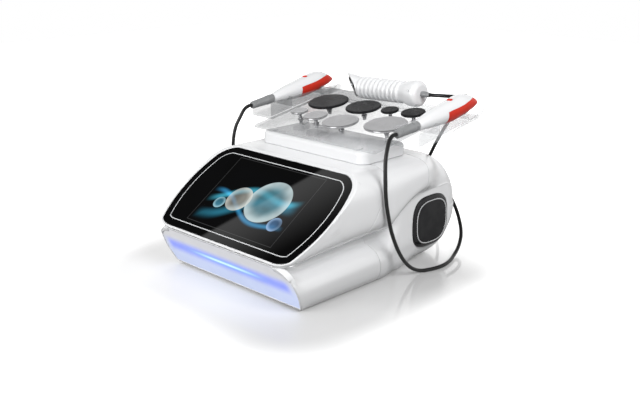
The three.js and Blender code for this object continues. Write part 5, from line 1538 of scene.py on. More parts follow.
class MACHINE_OT_base_moulding(bpy.types.Operator):
    """Makes the front half of the base moulding, with the rim of its lit face"""

    bl_idname = "machine.base_moulding"
    bl_label = "Base moulding"

    def execute(self, context):
        form = bmesh.new()
        rows = lower_rows()
        columns = []
        for share in [(i / 46) ** 1.5 for i in range(47)]:

            def side_y(z, share=share):
                return mix(face_y(z), split_y(z) - SEAM_HALF, share)

            columns.append([lower_point(side_y, row) for row in rows])
        front = columns[0]
        inner = face_outline(rows, FACE_FRAME)
        rounding = []
        for corner, side, face in zip(front, columns[9], inner):
            side, face = toward(corner, side, FACE_EDGE), toward(corner, face, FACE_EDGE)
            rounding.append(rounded_corner(side, corner, face, 4))
        kept = [[corner[0] for corner in rounding]]
        kept += [column for column in columns if math.dist(column[20], front[20]) > FACE_EDGE * 1.3]
        lay_grid(form, [lower_section(column) for column in kept])
        strips = [[corner[step] for corner in rounding] for step in range(5)]
        strips.append(inner)
        strips.append([tuple(Vector(point) + FACE_INWARD * FACE_DEPTH) for point in inner])
        lay_grid(form, strips)
        lay_grid(form, [[*flat_run(strip[0]), strip[0]] for strip in strips])
        ledges = [(inside_of(strip[-1]), strip[-1]) for strip in strips]
        lay_grid(form, [[*flat_run(ledge), ledge, head] for ledge, head in ledges])
        piece = moulding("base_moulding", form, BASE_WALL, BASE_MIDDLE)
        dress(piece, "housing", ["base_shell"])
        return {"FINISHED"}


def rear_stations(start):
    """Places of the sections along Y, closer together toward the tail, with two at the opening's edges."""
    tail = CROWN_Y + CROWN_REACH
    places = [mix(start, tail, math.sin(QUARTER_TURN * i / 52)) for i in range(52)]
    edges = tub_edges()
    places = [y for y in places if min(abs(y - edge) for edge in edges) > 0.12]
    return sorted([*places, *edges, tail])


def tub_edges():
    """Y of the tail at the upper and the lower edge of the connector opening."""
    upper = CROWN_Y + CROWN_REACH * math.sqrt(1 - ((TUB_HIGH - POD_Z) / CROWN_RISE) ** 2)
    lower = POD_Y + POD_RADIUS * math.sqrt(1 - ((TUB_LOW - POD_Z) / POD_RADIUS) ** 2)
    return upper, lower


def rear_section(y, rows):
    """One section from the middle of the bottom round the side to the middle of the top."""
    low, high, crease = bottom_height(y), top_height(y), crease_now(y)
    if y >= CROWN_Y + CROWN_REACH - WELD:
        low = high = crease = POD_Z
    bulge = mix(BULGE_HEIGHT_FRONT, BULGE_HEIGHT_REAR, crease_share(y))
    shares = row_shares(clamp((bulge - crease) / max(1, high - crease), 0.3, 0.75))
    heights = [mix(crease, high, share) for share in shares]
    if high - low < 1:
        half = POD_HALF - POD_ROUNDING
        lower = [(half, y, POD_Z) for _ in rows]
        upper = [(half, y, z) for z in heights]
    else:
        lower = [(lower_half_width(y, row), y, mix(low, crease, row)) for row in rows]
        upper = [(upper_half_width(y, z), y, z) for z in heights]
        joined = smooth(CROWN_BLEND_END - 30, CROWN_BLEND_END, y)
        upper[0] = (mix(upper[0][0], max(lower[-1][0], 1), joined), y, crease)
    return [*flat_run(lower[0]), *lower, *upper, *reversed(flat_run(upper[-1]))]


def open_tub(form):
    """Leaves the connector opening out of the tail."""
    side = TUB_HALF * MM + WELD
    gone = []
    upper, lower = tub_edges()
    for face in form.faces:
        middle = face.calc_center_median()
        start = (upper if middle.z > POD_Z * MM else lower) * MM
        if middle.y > start - WELD and max(abs(vert.co.x) for vert in face.verts) < side:
            gone.append(face)
    bmesh.ops.delete(form, geom=gone, context="FACES")


class MACHINE_OT_rear_moulding(bpy.types.Operator):
    """Makes the rear moulding with both round pods, the seats of their caps and the connector opening"""

    bl_idname = "machine.rear_moulding"
    bl_label = "Rear moulding"

    def execute(self, context):
        form = bmesh.new()
        rows = lower_rows()
        seam = SEAM_REAR_Y + SEAM_HALF
        columns = []
        for i in range(35):

            def side_y(z, share=i / 34):
                return mix(split_y(z) + SEAM_HALF, seam, share)

            columns.append([lower_point(side_y, row) for row in rows])
        lay_grid(form, [lower_section(column) for column in columns])
        loops = [rear_section(y, rows) for y in rear_stations(seam)]
        lay_grid(form, loops)
        open_tub(form)
        piece = moulding("rear_moulding", form, sizes().shell_wall)
        seats = []
        for _, side in SIDES:
            rings = [cap_ring(side, 1, CAP_GAP, out) for out in (-12, 12)]
            seats.append(lofted("seat_cutter", rings, "white_gloss"))
        cut(piece, seats, sharp=SHARP_MOULDING)
        dress(piece, "housing", ["rear_shell"])
        return {"FINISHED"}


class MACHINE_OT_front_panel(bpy.types.Operator):
    """Makes the frosted panel of the lit front face"""

    bl_idname = "machine.front_panel"
    bl_label = "Front panel"

    def execute(self, context):
        form = bmesh.new()
        margin = FACE_FRAME + 0.3
        low, high = FLOOR_GAP + margin, FACE_TOP_Z - SEAM_HALF - margin
        rows = []
        for i in range(37):
            z = mix(low, high, i / 36)
            half = face_half_width(z) - margin
            middle = Vector((0, face_y(z), z)) + FACE_INWARD * FACE_INSET
            rows.append([(half * (2 * k / 60 - 1), middle.y, middle.z) for k in range(61)])
        lay_grid(form, rows, (1,))
        close_up(form, Vector((0, 0, 0.04)))
        piece = add_piece("lit_panel", form, "frosted_panel")
        thicken(piece, 2.6, 0.5, segments=3)
        dress(piece, "housing", ["front_panel"])
        return {"FINISHED"}


# Touch glass

LINE_INSET = 12.5
LINE_WIDTH = 1.5


def glass_outline():
    """Right half of the glass outline, from the middle of its lower edge to that of its upper one."""
    low_corner, high_corner = LOW_CORNER[1], HIGH_CORNER[1]
    nose, end = panel_half_width(GLASS_LOW, 0), panel_half_width(GLASS_HIGH, 0)
    turns = [QUARTER_TURN * i / 18 for i in range(18)]
    places = [GLASS_LOW + low_corner * (1 - math.cos(turn)) for turn in turns]
    places += [mix(GLASS_LOW + low_corner, GLASS_HIGH - high_corner, i / 24) for i in range(24)]
    places += [GLASS_HIGH - high_corner + high_corner * math.sin(turn) for turn in turns]
    points = [(nose * i / 12, GLASS_LOW) for i in range(12)]
    points += [(panel_half_width(v, 0), v) for v in places]
    return points + [(end * (1 - i / 12), GLASS_HIGH) for i in range(13)]


def whole_outline(half):
    """The closed outline of which this is the right half."""
    return half + [(-u, v) for u, v in reversed(half[1:-1])]


def drawn_in(outline, margin):
    """The right half of an outline, moved inwards by a margin; its ends stay on the middle line."""
    result = []
    last = len(outline) - 1
    for i, (u, v) in enumerate(outline):
        before, after = outline[max(i - 1, 0)], outline[min(i + 1, last)]
        run, rise = after[0] - before[0], after[1] - before[1]
        length = math.hypot(run, rise)
        result.append((max(0.0, u - margin * rise / length), v + margin * run / length))
    result[0] = (0.0, result[0][1])
    result[-1] = (0.0, result[-1][1])
    return result


def make_glass():
    """Plate of glass; each level is its inset and its height, up to the softened upper edge."""
    top = -GLASS_DROP
    bottom = top - GLASS_THICK
    levels = ((0.6, bottom), (0, bottom + 0.6), (0, top - 0.5), (0.15, top - 0.15), (0.5, top))
    rings = []
    for inset, n in levels:
        ring = []
        for u, v in whole_outline(glass_outline()):
            away = math.hypot(u, v - GLASS_MIDDLE)
            keep = (away - inset) / away
            ring.append(panel_point(u * keep, GLASS_MIDDLE + (v - GLASS_MIDDLE) * keep, n))
        rings.append(ring)
    piece = lofted("touch_glass", rings, "black_glass")
    dress(piece, "housing", ["screen_glass"])


def make_line():
    """Printed silver line near the edge of the glass."""
    form = bmesh.new()
    outer, inner = (drawn_in(glass_outline(), LINE_INSET + step) for step in (0, LINE_WIDTH))
    n_low, n_high = -GLASS_DROP - 0.2, -GLASS_DROP + 0.06
    loops = []
    for outline, n in ((outer, n_low), (outer, n_high), (inner, n_high), (inner, n_low), (outer, n_low)):
        full = whole_outline(outline)
        loops.append([panel_point(u, v, n) for u, v in full + full[:1]])
    lay_grid(form, loops, (1,))
    close_up(form)
    piece = add_piece("printed_line", form, "silver_print")
    dress(piece, "housing", [], "silver_trim")


def make_picture():
    """Thin sheet with the lit picture, just above the glass so that nothing hides it."""
    form = bmesh.new()
    n = -GLASS_DROP + 0.03
    rows = []
    for i in range(25):
        v = mix(DISPLAY_LOW + PICTURE_INSET, DISPLAY_HIGH - PICTURE_INSET, i / 24)
        half = DISPLAY_HALF - PICTURE_INSET
        rows.append([panel_point(half * (2 * k / 32 - 1), v, n) for k in range(33)])
    lay_grid(form, rows, (1,))
    close_up(form, HOUSING_MIDDLE)
    piece = add_piece("display_picture", form, "display_picture")
    thicken(piece, 0.15, 0)
    dress(piece, "housing", [], "black_glass")


class MACHINE_OT_touch_glass(bpy.types.Operator):
    """Makes the black touch glass, its printed silver line and the lit picture of the display"""

    bl_idname = "machine.touch_glass"
    bl_label = "Touch glass"

    def execute(self, context):
        make_glass()
        make_line()
        make_picture()
        return {"FINISHED"}


# Pod caps

CAP_Y = 120.5
CAP_Z = 70.0
CAP_LENGTH = 46.0
CAP_HEIGHT = 43.0
CAP_POWER = 2.9
CAP_SEAT = 4.0
CAP_GAP = 0.3
CAP_SIDES = 120
CAP_BASE = 143.0
# Rings of each part from the pod outwards: share of the cap's size, growth and reach in millimetres
DISH_LEVELS = (
    (0.5, 0, -CAP_SEAT + 0.3), (1, 0, -CAP_SEAT + 0.3), (1, 0, 0.2), (1, -0.25, 0.9), (1, -0.9, 1.5),
    (1, -2.2, 2.4), (1, -4, 3.3), (1, -5.6, 4.0), (1, -6.6, 4.35), (0.85, 0.4, 4.5), (0.85, 0.1, 4.3),
    (0.85, 0, 3.2), (0.5, 0, 3.2),
)
DISC_LEVELS = (
    (0.85, -2.9, 3.3), (0.85, -2.9, 4.2), (0.85, -3.1, 4.45), (0.85, -3.6, 4.6), (0.6, 0, 4.75),
    (0.3, 0, 4.85),
)
RING_LEVELS = (
    (0.85, -0.5, 3.3), (0.85, -0.5, 4.75), (0.85, -0.7, 5.05), (0.85, -1.1, 5.2), (0.85, -1.7, 5.2),
    (0.85, -2.1, 5.05), (0.85, -2.3, 4.75), (0.85, -2.3, 3.3), (0.85, -0.5, 3.3),
)
CAP_PARTS = (
    ("dish", DISH_LEVELS, "black_gloss", SHARP_ROUND, True, ["pod_cap"], "black_gloss"),
    ("disc", DISC_LEVELS, "charcoal_satin", SHARP_ROUND, True, [], "black_gloss"),
    ("ring", RING_LEVELS, "silver_trim", SHARP_SMALL, False, ["pod_ring"], "silver_trim"),
)


def cap_ring(side, share, grow, out):
    ring = []
    for i in range(CAP_SIDES):
        turn = 2 * math.pi * i / CAP_SIDES
        c, s = math.cos(turn), math.sin(turn)
        a = math.copysign(abs(c) ** (2 / CAP_POWER), c)
        b = math.copysign(abs(s) ** (2 / CAP_POWER), s)
        y = CAP_Y + (CAP_LENGTH * share + grow) * a
        z = CAP_Z + (CAP_HEIGHT * share + grow) * b
        ring.append((side * (CAP_BASE + out), y, z))
    return ring


class MACHINE_OT_pod_caps(bpy.types.Operator):
    """Makes the dark caps of the pods: a glossy dish, a charcoal disc in it and a silver ring"""

    bl_idname = "machine.pod_caps"
    bl_label = "Pod caps"

    def execute(self, context):
        for name, side in SIDES:
            for part, levels, finish, sharp, ends, nodes, slot in CAP_PARTS:
                rings = [cap_ring(side, *level) for level in levels]
                piece = lofted(f"{name}_cap_{part}", rings, finish, sharp, ends)
                dress(piece, "housing", [f"{name}_{node}" for node in nodes], slot)
        return {"FINISHED"}


# Plinth and clear tray

CLEAR = "clear_acrylic"
PLINTH_HALF = 116.0
PLINTH_FRONT = -14.0
PLINTH_REAR = 92.0
PLINTH_BOTTOM = 181.3
PLINTH_TOP = 201.0
PLINTH_CORNER = 16.0
PLINTH_EDGE = 6.5
DECK_FRONT = -11.0
DECK_REAR = 151.7
DECK_RISE = 5.0
DECK_THICK = 4.0
DECK_HALF = 136.7
LEG_X = 96.0
LEG_HALF = 4.0
LEG_LENGTH = 14.0
LEG_FOOT = PLINTH_TOP + 0.3
CRADLE_INNER = 137.0
CRADLE_OUTER = 188.0
CRADLE_WALL = 4.0
CRADLE_FRONT = 33.0
CRADLE_REAR = 206.0
CRADLE_FLOOR_END = 186.0
SADDLES = (84.0, 158.0)
SADDLE_THICK = 4.0
SADDLE_RISE = 9.0
REST_FRONT = 152.0
REST_BACK = 177.0
REST_WALL = 5
REST_GAP = 0.4


def deck_top(y):
    return PLINTH_TOP + DECK_RISE + (y - DECK_FRONT) * math.tan(TRAY_TILT)


def cradle_bottom(y):
    return PLINTH_TOP + 8 + (y - CRADLE_FRONT) * math.tan(TRAY_TILT)


def rounded_rectangle(x_half, y_low, y_high, radius, steps=8):
    """Outline of a rectangle with round corners, even about the middle line."""
    corners = (
        (x_half - radius, y_low + radius), (x_half - radius, y_high - radius),
        (-x_half + radius, y_high - radius), (-x_half + radius, y_low + radius),
    )
    points = []
    for (x, y), start in zip(corners, (-QUARTER_TURN, 0, QUARTER_TURN, math.pi)):
        for i in range(steps + 1):
            turn = start + QUARTER_TURN * i / steps
            points.append((x + radius * math.cos(turn), y + radius * math.sin(turn)))
    return points


class MACHINE_OT_plinth(bpy.types.Operator):
    """Makes the raised white plinth under the tray"""

    bl_idname = "machine.plinth"
    bl_label = "Plinth"

    def execute(self, context):
        rings = []
        levels = [(0.8, PLINTH_BOTTOM), (0, PLINTH_BOTTOM + 0.8)]
        for i in range(9):
            turn = QUARTER_TURN * i / 8
            rise = PLINTH_EDGE * (1 - math.sin(turn))
            levels.append((PLINTH_EDGE * (1 - math.cos(turn)), PLINTH_TOP - rise))
        for inset, z in levels:
            outline = rounded_rectangle(
                PLINTH_HALF - inset, PLINTH_FRONT + inset, PLINTH_REAR - inset, PLINTH_CORNER - inset, 10,
            )
            rings.append([(x, y, z) for x, y in outline])
        piece = lofted("plinth", rings, "white_gloss")
        dress(piece, "housing", ["tray_plinth"])
        return {"FINISHED"}


def make_deck():
    """Clear sloping deck with its legs and the holes of the electrodes' pins."""
    low = [(y, deck_top(y) - DECK_THICK) for y in (DECK_FRONT, DECK_REAR)]
    high = [(y, deck_top(y)) for y in (DECK_REAR, DECK_FRONT)]
    deck = slab("clear_deck", low + high, -DECK_HALF, DECK_HALF, CLEAR)
    outline = rounded_rectangle(DECK_HALF, DECK_FRONT, DECK_REAR, 5)
    plan = slab("deck_plan", outline, PLINTH_TOP - 20, PLINTH_TOP + 60, CLEAR, axis=2)
    cut(deck, [plan], operation="INTERSECT")
    legs = []
    for start in (DECK_FRONT + 1, PLINTH_REAR - LEG_LENGTH * 2):
        end = start + LEG_LENGTH
        leg = [(start, LEG_FOOT), (end, LEG_FOOT), (end, deck_top(end) - 2), (start, deck_top(start) - 2)]
        for x in (-LEG_X, LEG_X):
            legs.append(slab("deck_leg", leg, x - LEG_HALF, x + LEG_HALF, CLEAR))
    cut(deck, legs, operation="UNION")
    bore = ((0, -12), (4, -12), (4, 12), (0, 12))
    places = [(x, y, deck_top(y)) for _, _, _, x, y in ELECTRODES]
    cut(deck, [lathe("pin_hole", bore, place, DECK_AXIS, CLEAR, 32) for place in places])
    round_edges(deck, sizes().clear_edge, 3)
    dress(deck, "housing", ["tray_deck"])


def make_cradle(name, side):
    """Clear side cradle: two walls, a floor, and two saddles cut to the handpiece."""

    def across(start, end):
        return (start, end) if side > 0 else (-end, -start)

    low = [(y, cradle_bottom(y)) for y in (CRADLE_FRONT, CRADLE_REAR)]
    rear = (CRADLE_REAR, PLINTH_TOP + 49)
    outer = rounded_outline([*low, rear, (CRADLE_FRONT, PLINTH_TOP + 33)], 5)
    inner = rounded_outline([*low, rear, (CRADLE_FRONT, PLINTH_TOP + 37)], 5)
    base = [(y, cradle_bottom(y)) for y in (CRADLE_FRONT, CRADLE_FLOOR_END)]
    base += [(y, cradle_bottom(y) + CRADLE_WALL) for y in (CRADLE_FLOOR_END, CRADLE_FRONT)]
    wall = slab(f"{name}_clear_cradle", outer, *across(CRADLE_OUTER - CRADLE_WALL, CRADLE_OUTER), CLEAR)
    parts = [slab("inner_wall", inner, *across(CRADLE_INNER, CRADLE_INNER + CRADLE_WALL), CLEAR)]
    x_low, x_high = across(CRADLE_INNER + 0.5, CRADLE_OUTER - 0.5)
    parts.append(slab("cradle_floor", base, x_low, x_high, CLEAR))
    for start in SADDLES:
        low_corner = (x_low, start, cradle_bottom(start) + 2)
        high_corner = (x_high, start + SADDLE_THICK, hand_edge(start, -1) + SADDLE_RISE)
        parts.append(solid_box("saddle", low_corner, high_corner, CLEAR))
    cut(wall, parts, operation="UNION")
    cut(wall, [hand_form("hand_cutter", side, 0.3, CLEAR)])
    round_edges(wall, sizes().clear_edge, 3)
    dress(wall, "housing", [f"{name}_cradle"])


def make_rest():
    """Clear channel across the back, cut to the grip."""
    bottom = deck_top(REST_FRONT) - DECK_THICK
    front_top, back_top = PLINTH_TOP + 51, PLINTH_TOP + 45
    outline = [
        (REST_FRONT, bottom), (REST_BACK, bottom), (REST_BACK, back_top), (REST_BACK - REST_WALL, back_top),
        (REST_BACK - REST_WALL, bottom + 3), (REST_FRONT + REST_WALL, bottom + 3),
        (REST_FRONT + REST_WALL, front_top), (REST_FRONT, front_top),
    ]
    rest = slab("clear_rest", outline, -DECK_HALF, DECK_HALF, CLEAR)
    radius = RIB_RADIUS + REST_GAP
    tail = [(width + REST_GAP, x) for width, x in tail_profile() if width + REST_GAP > radius]
    waist = [(0, NECK_X - 1), (radius, NECK_X - 1), *tail, (radius, 100), (0, 100)]
    head = lofted("head_cutter", head_rings(REST_GAP, PLATE_THICK + 2 * SEAT_GAP), CLEAR)
    cut(rest, [turned_about_grip("grip_cutter", waist, CLEAR, 96), head])
    round_edges(rest, sizes().clear_edge, 3)
    dress(rest, "housing", ["grip_rest"])


class MACHINE_OT_tray(bpy.types.Operator):
    """Makes the clear deck, the side cradles and the rest of the grip"""

    bl_idname = "machine.tray"
    bl_label = "Clear tray"

    def execute(self, context):
        make_deck()
        for name, side in SIDES:
            make_cradle(name, side)
        make_rest()
        return {"FINISHED"}


# Disc electrodes

DISC_RADII = {70: 35, 60: 30, 40: 20, 30: 15}
# Thickness and slot of each kind
DISC_KINDS = {"black": (4.0, "dark_coating"), "steel": (3.0, "polished_steel")}
# Size of each disc, and its place as shares of the deck's half width and of its length from the front
BLACK_SHARES = ((70, -0.479, 0.688), (60, 0.084, 0.71), (30, 0.464, 0.75), (40, 0.783, 0.787))
STEEL_SHARES = ((30, -0.578, 0.344), (40, -0.267, 0.313), (60, 0.168, 0.295), (70, 0.739, 0.418))
STEM_RISE = 13.0
STUD_RADIUS = 3.0
STEM_FLANGE = 5.0


def discs_of(kind, shares):
    """Size, kind, radius and place on the deck of each disc of one kind."""
    length = DECK_REAR - DECK_FRONT
    return [(size, kind, DISC_RADII[size], x * DECK_HALF, DECK_FRONT + y * length) for size, x, y in shares]


ELECTRODES = discs_of("black", BLACK_SHARES) + discs_of("steel", STEEL_SHARES)


def disc_profile(radius, thick):
    top = STEM_RISE + thick
    edge = thick * 0.42
    points = [(0, STEM_RISE)]
    points += [(radius * share, STEM_RISE) for share in (0.3, 0.7)]
    points.append((radius - edge, STEM_RISE))
    for i in range(1, 7):
        turn = QUARTER_TURN * i / 6
        points.append((radius - edge + edge * math.sin(turn), STEM_RISE + edge * (1 - math.cos(turn))))
    for i in range(7):
        turn = QUARTER_TURN * i / 6
        points.append((radius - edge + edge * math.cos(turn), top - edge + edge * math.sin(turn)))
    points += [(radius * share, top) for share in (0.85, 0.6, 0.35, 0.1)]
    points.append((0, top))
    return points


def stud_profile():
    r = STUD_RADIUS
    return [
        (0, -7), (r - 0.6, -7), (r, -6.4), (r, 0.3), (STEM_FLANGE - 0.4, 0.3), (STEM_FLANGE, 0.7),
        (STEM_FLANGE, 1.5), (STEM_FLANGE - 0.4, 1.9), (r, 2.1), (r, 6), (r - 0.5, 6.5), (r - 0.5, 7.5),
        (r, 8), (r, STEM_RISE - 0.05), (0, STEM_RISE - 0.05),
    ]


class MACHINE_OT_electrodes(bpy.types.Operator):
    """Makes the eight disc electrodes on their studs"""

    bl_idname = "machine.electrodes"
    bl_label = "Disc electrodes"

    def execute(self, context):
        for size, kind, radius, x, y in ELECTRODES:
            place = (x, y, deck_top(y))
            body = f"{kind}_disc_{size}"
            thick, slot = DISC_KINDS[kind]
            profile = disc_profile(radius, thick)
            disc = lathe(f"{kind}_disc_face_{size}", profile, place, DECK_AXIS, slot, 96)
            dress(disc, body, [f"{kind}_electrode_{size}"], slot)
            stud = lathe(f"{kind}_stud_{size}", stud_profile(), place, DECK_AXIS, "polished_steel", 40)
            dress(stud, body, [])
        return {"FINISHED"}


# Handpieces

HAND_X = 161.5
HAND_START = 56.0
HAND_TIP = 202.5
HAND_SIDES = 72
HAND_RINGS = 56
HAND_Y = (56, 80, 108, 136, 160, 178, 192, 200, 202.5)
HAND_MIDDLE = (38.5, 42.7, 46.5, 50.8, 56, 58, 57.5, 56.5, 56.2)
HAND_RISE = (8, 11.8, 15, 17.2, 17, 13, 7.6, 3.4, 0.9)
HAND_HALF = (8, 12, 15.5, 18, 19, 17.5, 13, 7.5, 1.8)
hand_middle = curve_through(HAND_Y, HAND_MIDDLE)
hand_rise = curve_through(HAND_Y, HAND_RISE)
hand_half = curve_through(HAND_Y, HAND_HALF)
BUMPER_EDGE = ((115, 52.5), (127, 55.1), (140, 57.3), (152, 60), (163, 63.2), (173, 65.6), (184, 66.6))
BUTTON_Y = 136.0
LAMP_Y = 177.0
COLLAR_START = 8.0
# Heights of the button and the lens above the handpiece's upper edge
BUTTON_RISE = 1.2
LENS_RISE = 0.4
# Radius and depth of the pockets of the button and the lens
BUTTON_POCKET = (5.1, 6.7)
LENS_POCKET = (3.3, 2.9)
BUTTON_PROFILE = (
    (0, -6), (4.2, -6), (4.5, -5.7), (4.5, -1.6), (4.35, -0.9), (3.8, -0.4), (2.8, -0.1), (1.4, 0), (0, 0),
)
LENS_PROFILE = ((0, -3), (3, -3), (3, -0.7), (2.7, -0.25), (1.8, -0.05), (0, 0))
# Share of the way along the cable end, and growth of its radius there: a front ring and two grooves
COLLAR_MARKS = (
    (0, -1.6), (0.004, -0.6), (0.03, 0), (0.09, 0.05), (0.1, -0.5), (0.12, -0.5), (0.13, 0.05),
    (0.17, 0.05), (0.18, -0.5), (0.2, -0.5), (0.21, 0.05), (0.7, 0.0), (0.72, 0.4), (0.9, 0.3),
    (0.92, -0.4), (0.985, -0.3), (1, -0.6),
)


def hand_edge(y, up):
    return PLINTH_TOP + hand_middle(y) + up * hand_rise(y)


def upright_ring(x, y, z, half, rise, sides):
    """An ellipse across Y about a centre."""
    turns = [2 * math.pi * k / sides for k in range(sides)]
    return [(x + half * math.cos(turn), y, z + rise * math.sin(turn)) for turn in turns]


def hand_form(name, side, grow, finish):
    """The whole handpiece as one solid, grown by a clearance."""
    rings = []
    last = HAND_TIP - HAND_START
    for i in range(HAND_RINGS + 1):
        y = HAND_START + last * math.sin(QUARTER_TURN * i / HAND_RINGS) ** 0.92
        where = y + grow * (2 * (y - HAND_START) / last - 1)
        middle = PLINTH_TOP + hand_middle(y)
        half, rise = hand_half(y) + grow, hand_rise(y) + grow
        rings.append(upright_ring(side * HAND_X, where, middle, half, rise, HAND_SIDES))
    return lofted(name, rings, finish)


def bumper_region(shift, finish):
    """All that lies in front of the bumper's edge, for cutting."""
    high = PLINTH_TOP + BUMPER_EDGE[-1][1] + 12
    outline = [(BUMPER_EDGE[0][0] + shift, 150), (260, 150), (260, high), (BUMPER_EDGE[-1][0] + shift, high)]
    outline += [(y + shift, PLINTH_TOP + z - shift) for y, z in reversed(BUMPER_EDGE)]
    return slab("region", outline, -260, 260, finish)


def turned_on_hand(name, profile, side, y, rise, finish, segments):
    """A piece turned about an upright axis, at a height above the handpiece's upper edge."""
    return lathe(name, profile, (side * HAND_X, y, hand_edge(y, 1) + rise), (0, 0, 1), finish, segments)


def hand_pocket(side, y, size, finish):
    radius, depth = size
    profile = ((0, -depth), (radius, -depth), (radius, 8), (0, 8))
    return turned_on_hand("pocket", profile, side, y, 0, finish, 40)


def make_shell(name, side):
    shell = hand_form(f"{name}_hand_body", side, 0, "white_gloss")
    tools = [
        bumper_region(-0.35, "white_gloss"),
        hand_pocket(side, BUTTON_Y, BUTTON_POCKET, "white_gloss"),
        hand_pocket(side, LAMP_Y, LENS_POCKET, "white_gloss"),
    ]
    cut(shell, tools, sharp=SHARP_SMALL)
    round_edges(shell, 0.3, 2, limit=50, sharp=SHARP_SMALL)
    dress(shell, f"{name}_handpiece", [f"{name}_hand_shell"])


def make_bumper(name, side):
    bumper = hand_form(f"{name}_red_bumper", side, 0, "red_rubber")
    cut(bumper, [bumper_region(0, "red_rubber")], sharp=SHARP_SMALL, operation="INTERSECT")
    cut(bumper, [hand_pocket(side, LAMP_Y, LENS_POCKET, "red_rubber")], sharp=SHARP_SMALL)
    round_edges(bumper, 0.5, 3, limit=50, sharp=SHARP_SMALL)
    dress(bumper, f"{name}_handpiece", [f"{name}_hand_bumper"])


def make_collar(name, side):
    """Grey cable end that widens towards the handpiece."""
    rings = []
    for share, grow in COLLAR_MARKS:
        y = mix(COLLAR_START, HAND_START - 0.3, share)
        middle = mix(PLINTH_TOP + 32.7, PLINTH_TOP + HAND_MIDDLE[0], share)
        radius = mix(6.3, 8, share) + grow
        rings.append(upright_ring(side * HAND_X, y, middle, radius, radius, 56))
    collar = lofted(f"{name}_cable_end", rings, "grey_plastic", SHARP_SMALL)
    dress(collar, f"{name}_handpiece", [f"{name}_hand_collar"])


class MACHINE_OT_handpieces(bpy.types.Operator):
    """Makes both corded handpieces: white shell, red bumper, button, lamp and cable collar"""

    bl_idname = "machine.handpieces"
    bl_label = "Handpieces"

    def execute(self, context):
        for name, side in SIDES:
            make_shell(name, side)
            make_bumper(name, side)
            button = f"{name}_red_button"
            button = turned_on_hand(button, BUTTON_PROFILE, side, BUTTON_Y, BUTTON_RISE, "red_rubber", 48)
            dress(button, f"{name}_push_button", [f"{name}_hand_button"])
            lens = f"{name}_dark_lens"
            lens = turned_on_hand(lens, LENS_PROFILE, side, LAMP_Y, LENS_RISE, "black_gloss", 40)
            dress(lens, f"{name}_handpiece", [f"{name}_hand_lamp"])
            make_collar(name, side)
        return {"FINISHED"}


# Ribbed grip

GRIP_Y = 164.5
GRIP_Z = 261.0
GRIP_SLOPE = math.radians(2)
GRIP_RIGHT = 84.0
GRIP_SIDES = 96
HEAD_X = -70.0
HEAD_RISE = 2.5
HEAD_RADIUS = 23.0
HEAD_TURN = math.radians(50)
HEAD_DIP = math.radians(22)
HEAD_EDGE = 1.4
NECK_X = -47.0
NECK_RADIUS = 17.3
PLATE_RADIUS = 18.5
PLATE_THICK = 2.0
PLATE_DROP = 3.5
RIB_START = -46.0
RIB_END = 44.0
RIB_RADIUS = 19.4
RIB_RISE = 2.6
SEAT_GAP = 0.3
GRIP_PLACE = Vector((0, GRIP_Y, GRIP_Z))
GRIP_AXIS = Vector((math.cos(GRIP_SLOPE), 0, math.sin(GRIP_SLOPE)))
GRIP_FRAME = Matrix.Translation(GRIP_PLACE) @ Matrix.Rotation(-GRIP_SLOPE, 4, "Y")
GRIP_PLATE_PROFILE = (
    (0, 0), (PLATE_RADIUS - 0.5, 0), (PLATE_RADIUS - 0.1, 0.15), (PLATE_RADIUS, 0.5),
    (PLATE_RADIUS, PLATE_THICK - 0.6), (PLATE_RADIUS - 0.2, PLATE_THICK - 0.2),
    (PLATE_RADIUS - 0.6, PLATE_THICK), (PLATE_RADIUS - 3, PLATE_THICK),
    (PLATE_RADIUS - 4, PLATE_THICK - 0.25), (0, PLATE_THICK - 0.25),
)
# Radius, and distance from the end of the grip
GRIP_COLLAR_PROFILE = (
    (0, 0), (5, 0), (5, 3), (4.5, 3.4), (4.5, 4.4), (4.9, 4.8), (4.7, 7), (4.3, 7.4), (4.3, 8.4),
    (4.6, 8.8), (4.4, 11), (4, 11.4), (4, 12.4), (4.3, 12.8), (4.1, 15), (3.8, 16), (0, 16),
)
# Trim screws of the grip: place along it and radius of the grip there
GRIP_SCREWS = ((-57, 19.4), (71, 22.0))
GRIP_SCREW_PROFILE = ((0, 0), (2.1, 0), (2.1, 0.9), (1.8, 1.15), (1.0, 1.15), (0.8, 0.6), (0, 0.6))
LEFTWARD = Vector((-1, 0, 0))


def turned_about_grip(name, profile, finish, segments):
    return lathe(name, profile, GRIP_PLACE, GRIP_AXIS, finish, segments, SHARP_SMALL)


def head_facing():
    """Direction that the plate faces: left, forwards and a little down."""
    level = math.cos(HEAD_DIP)
    return Vector((-level * math.cos(HEAD_TURN), -level * math.sin(HEAD_TURN), -math.sin(HEAD_DIP)))


def facing_ring(centre, facing, radius):
    up = Vector((0, 0, 1))
    up = (up - facing * up.dot(facing)).normalized()
    across = facing.cross(up)
    ring = []
    for i in range(GRIP_SIDES):
        turn = 2 * math.pi * i / GRIP_SIDES
        local = centre + up * (radius * math.cos(turn)) + across * (radius * math.sin(turn))
        ring.append(tuple(GRIP_FRAME @ local))
    return ring


def head_rings(grow, reach):
    """Rings from the oblique rim, with its rounded edge, to the round neck."""
    facing = head_facing()
    rim, neck = Vector((HEAD_X, 0, HEAD_RISE)), Vector((NECK_X, 0, 0))
    rings = []
    for i in range(5):
        turn = QUARTER_TURN * i / 4
        out = reach - HEAD_EDGE * (1 - math.cos(turn))
        radius = HEAD_RADIUS + grow - HEAD_EDGE * (1 - math.sin(turn))
        rings.append(facing_ring(rim + facing * out, facing, radius))
    for i in range(1, 13):
        share = i / 12
        centre = (rim - facing * HEAD_EDGE).lerp(neck, share)
        ease = 1 - (1 - share) ** 1.35
        radius = mix(HEAD_RADIUS, NECK_RADIUS, ease) + grow
        rings.append(facing_ring(centre, facing.lerp(LEFTWARD, share).normalized(), radius))
    return rings


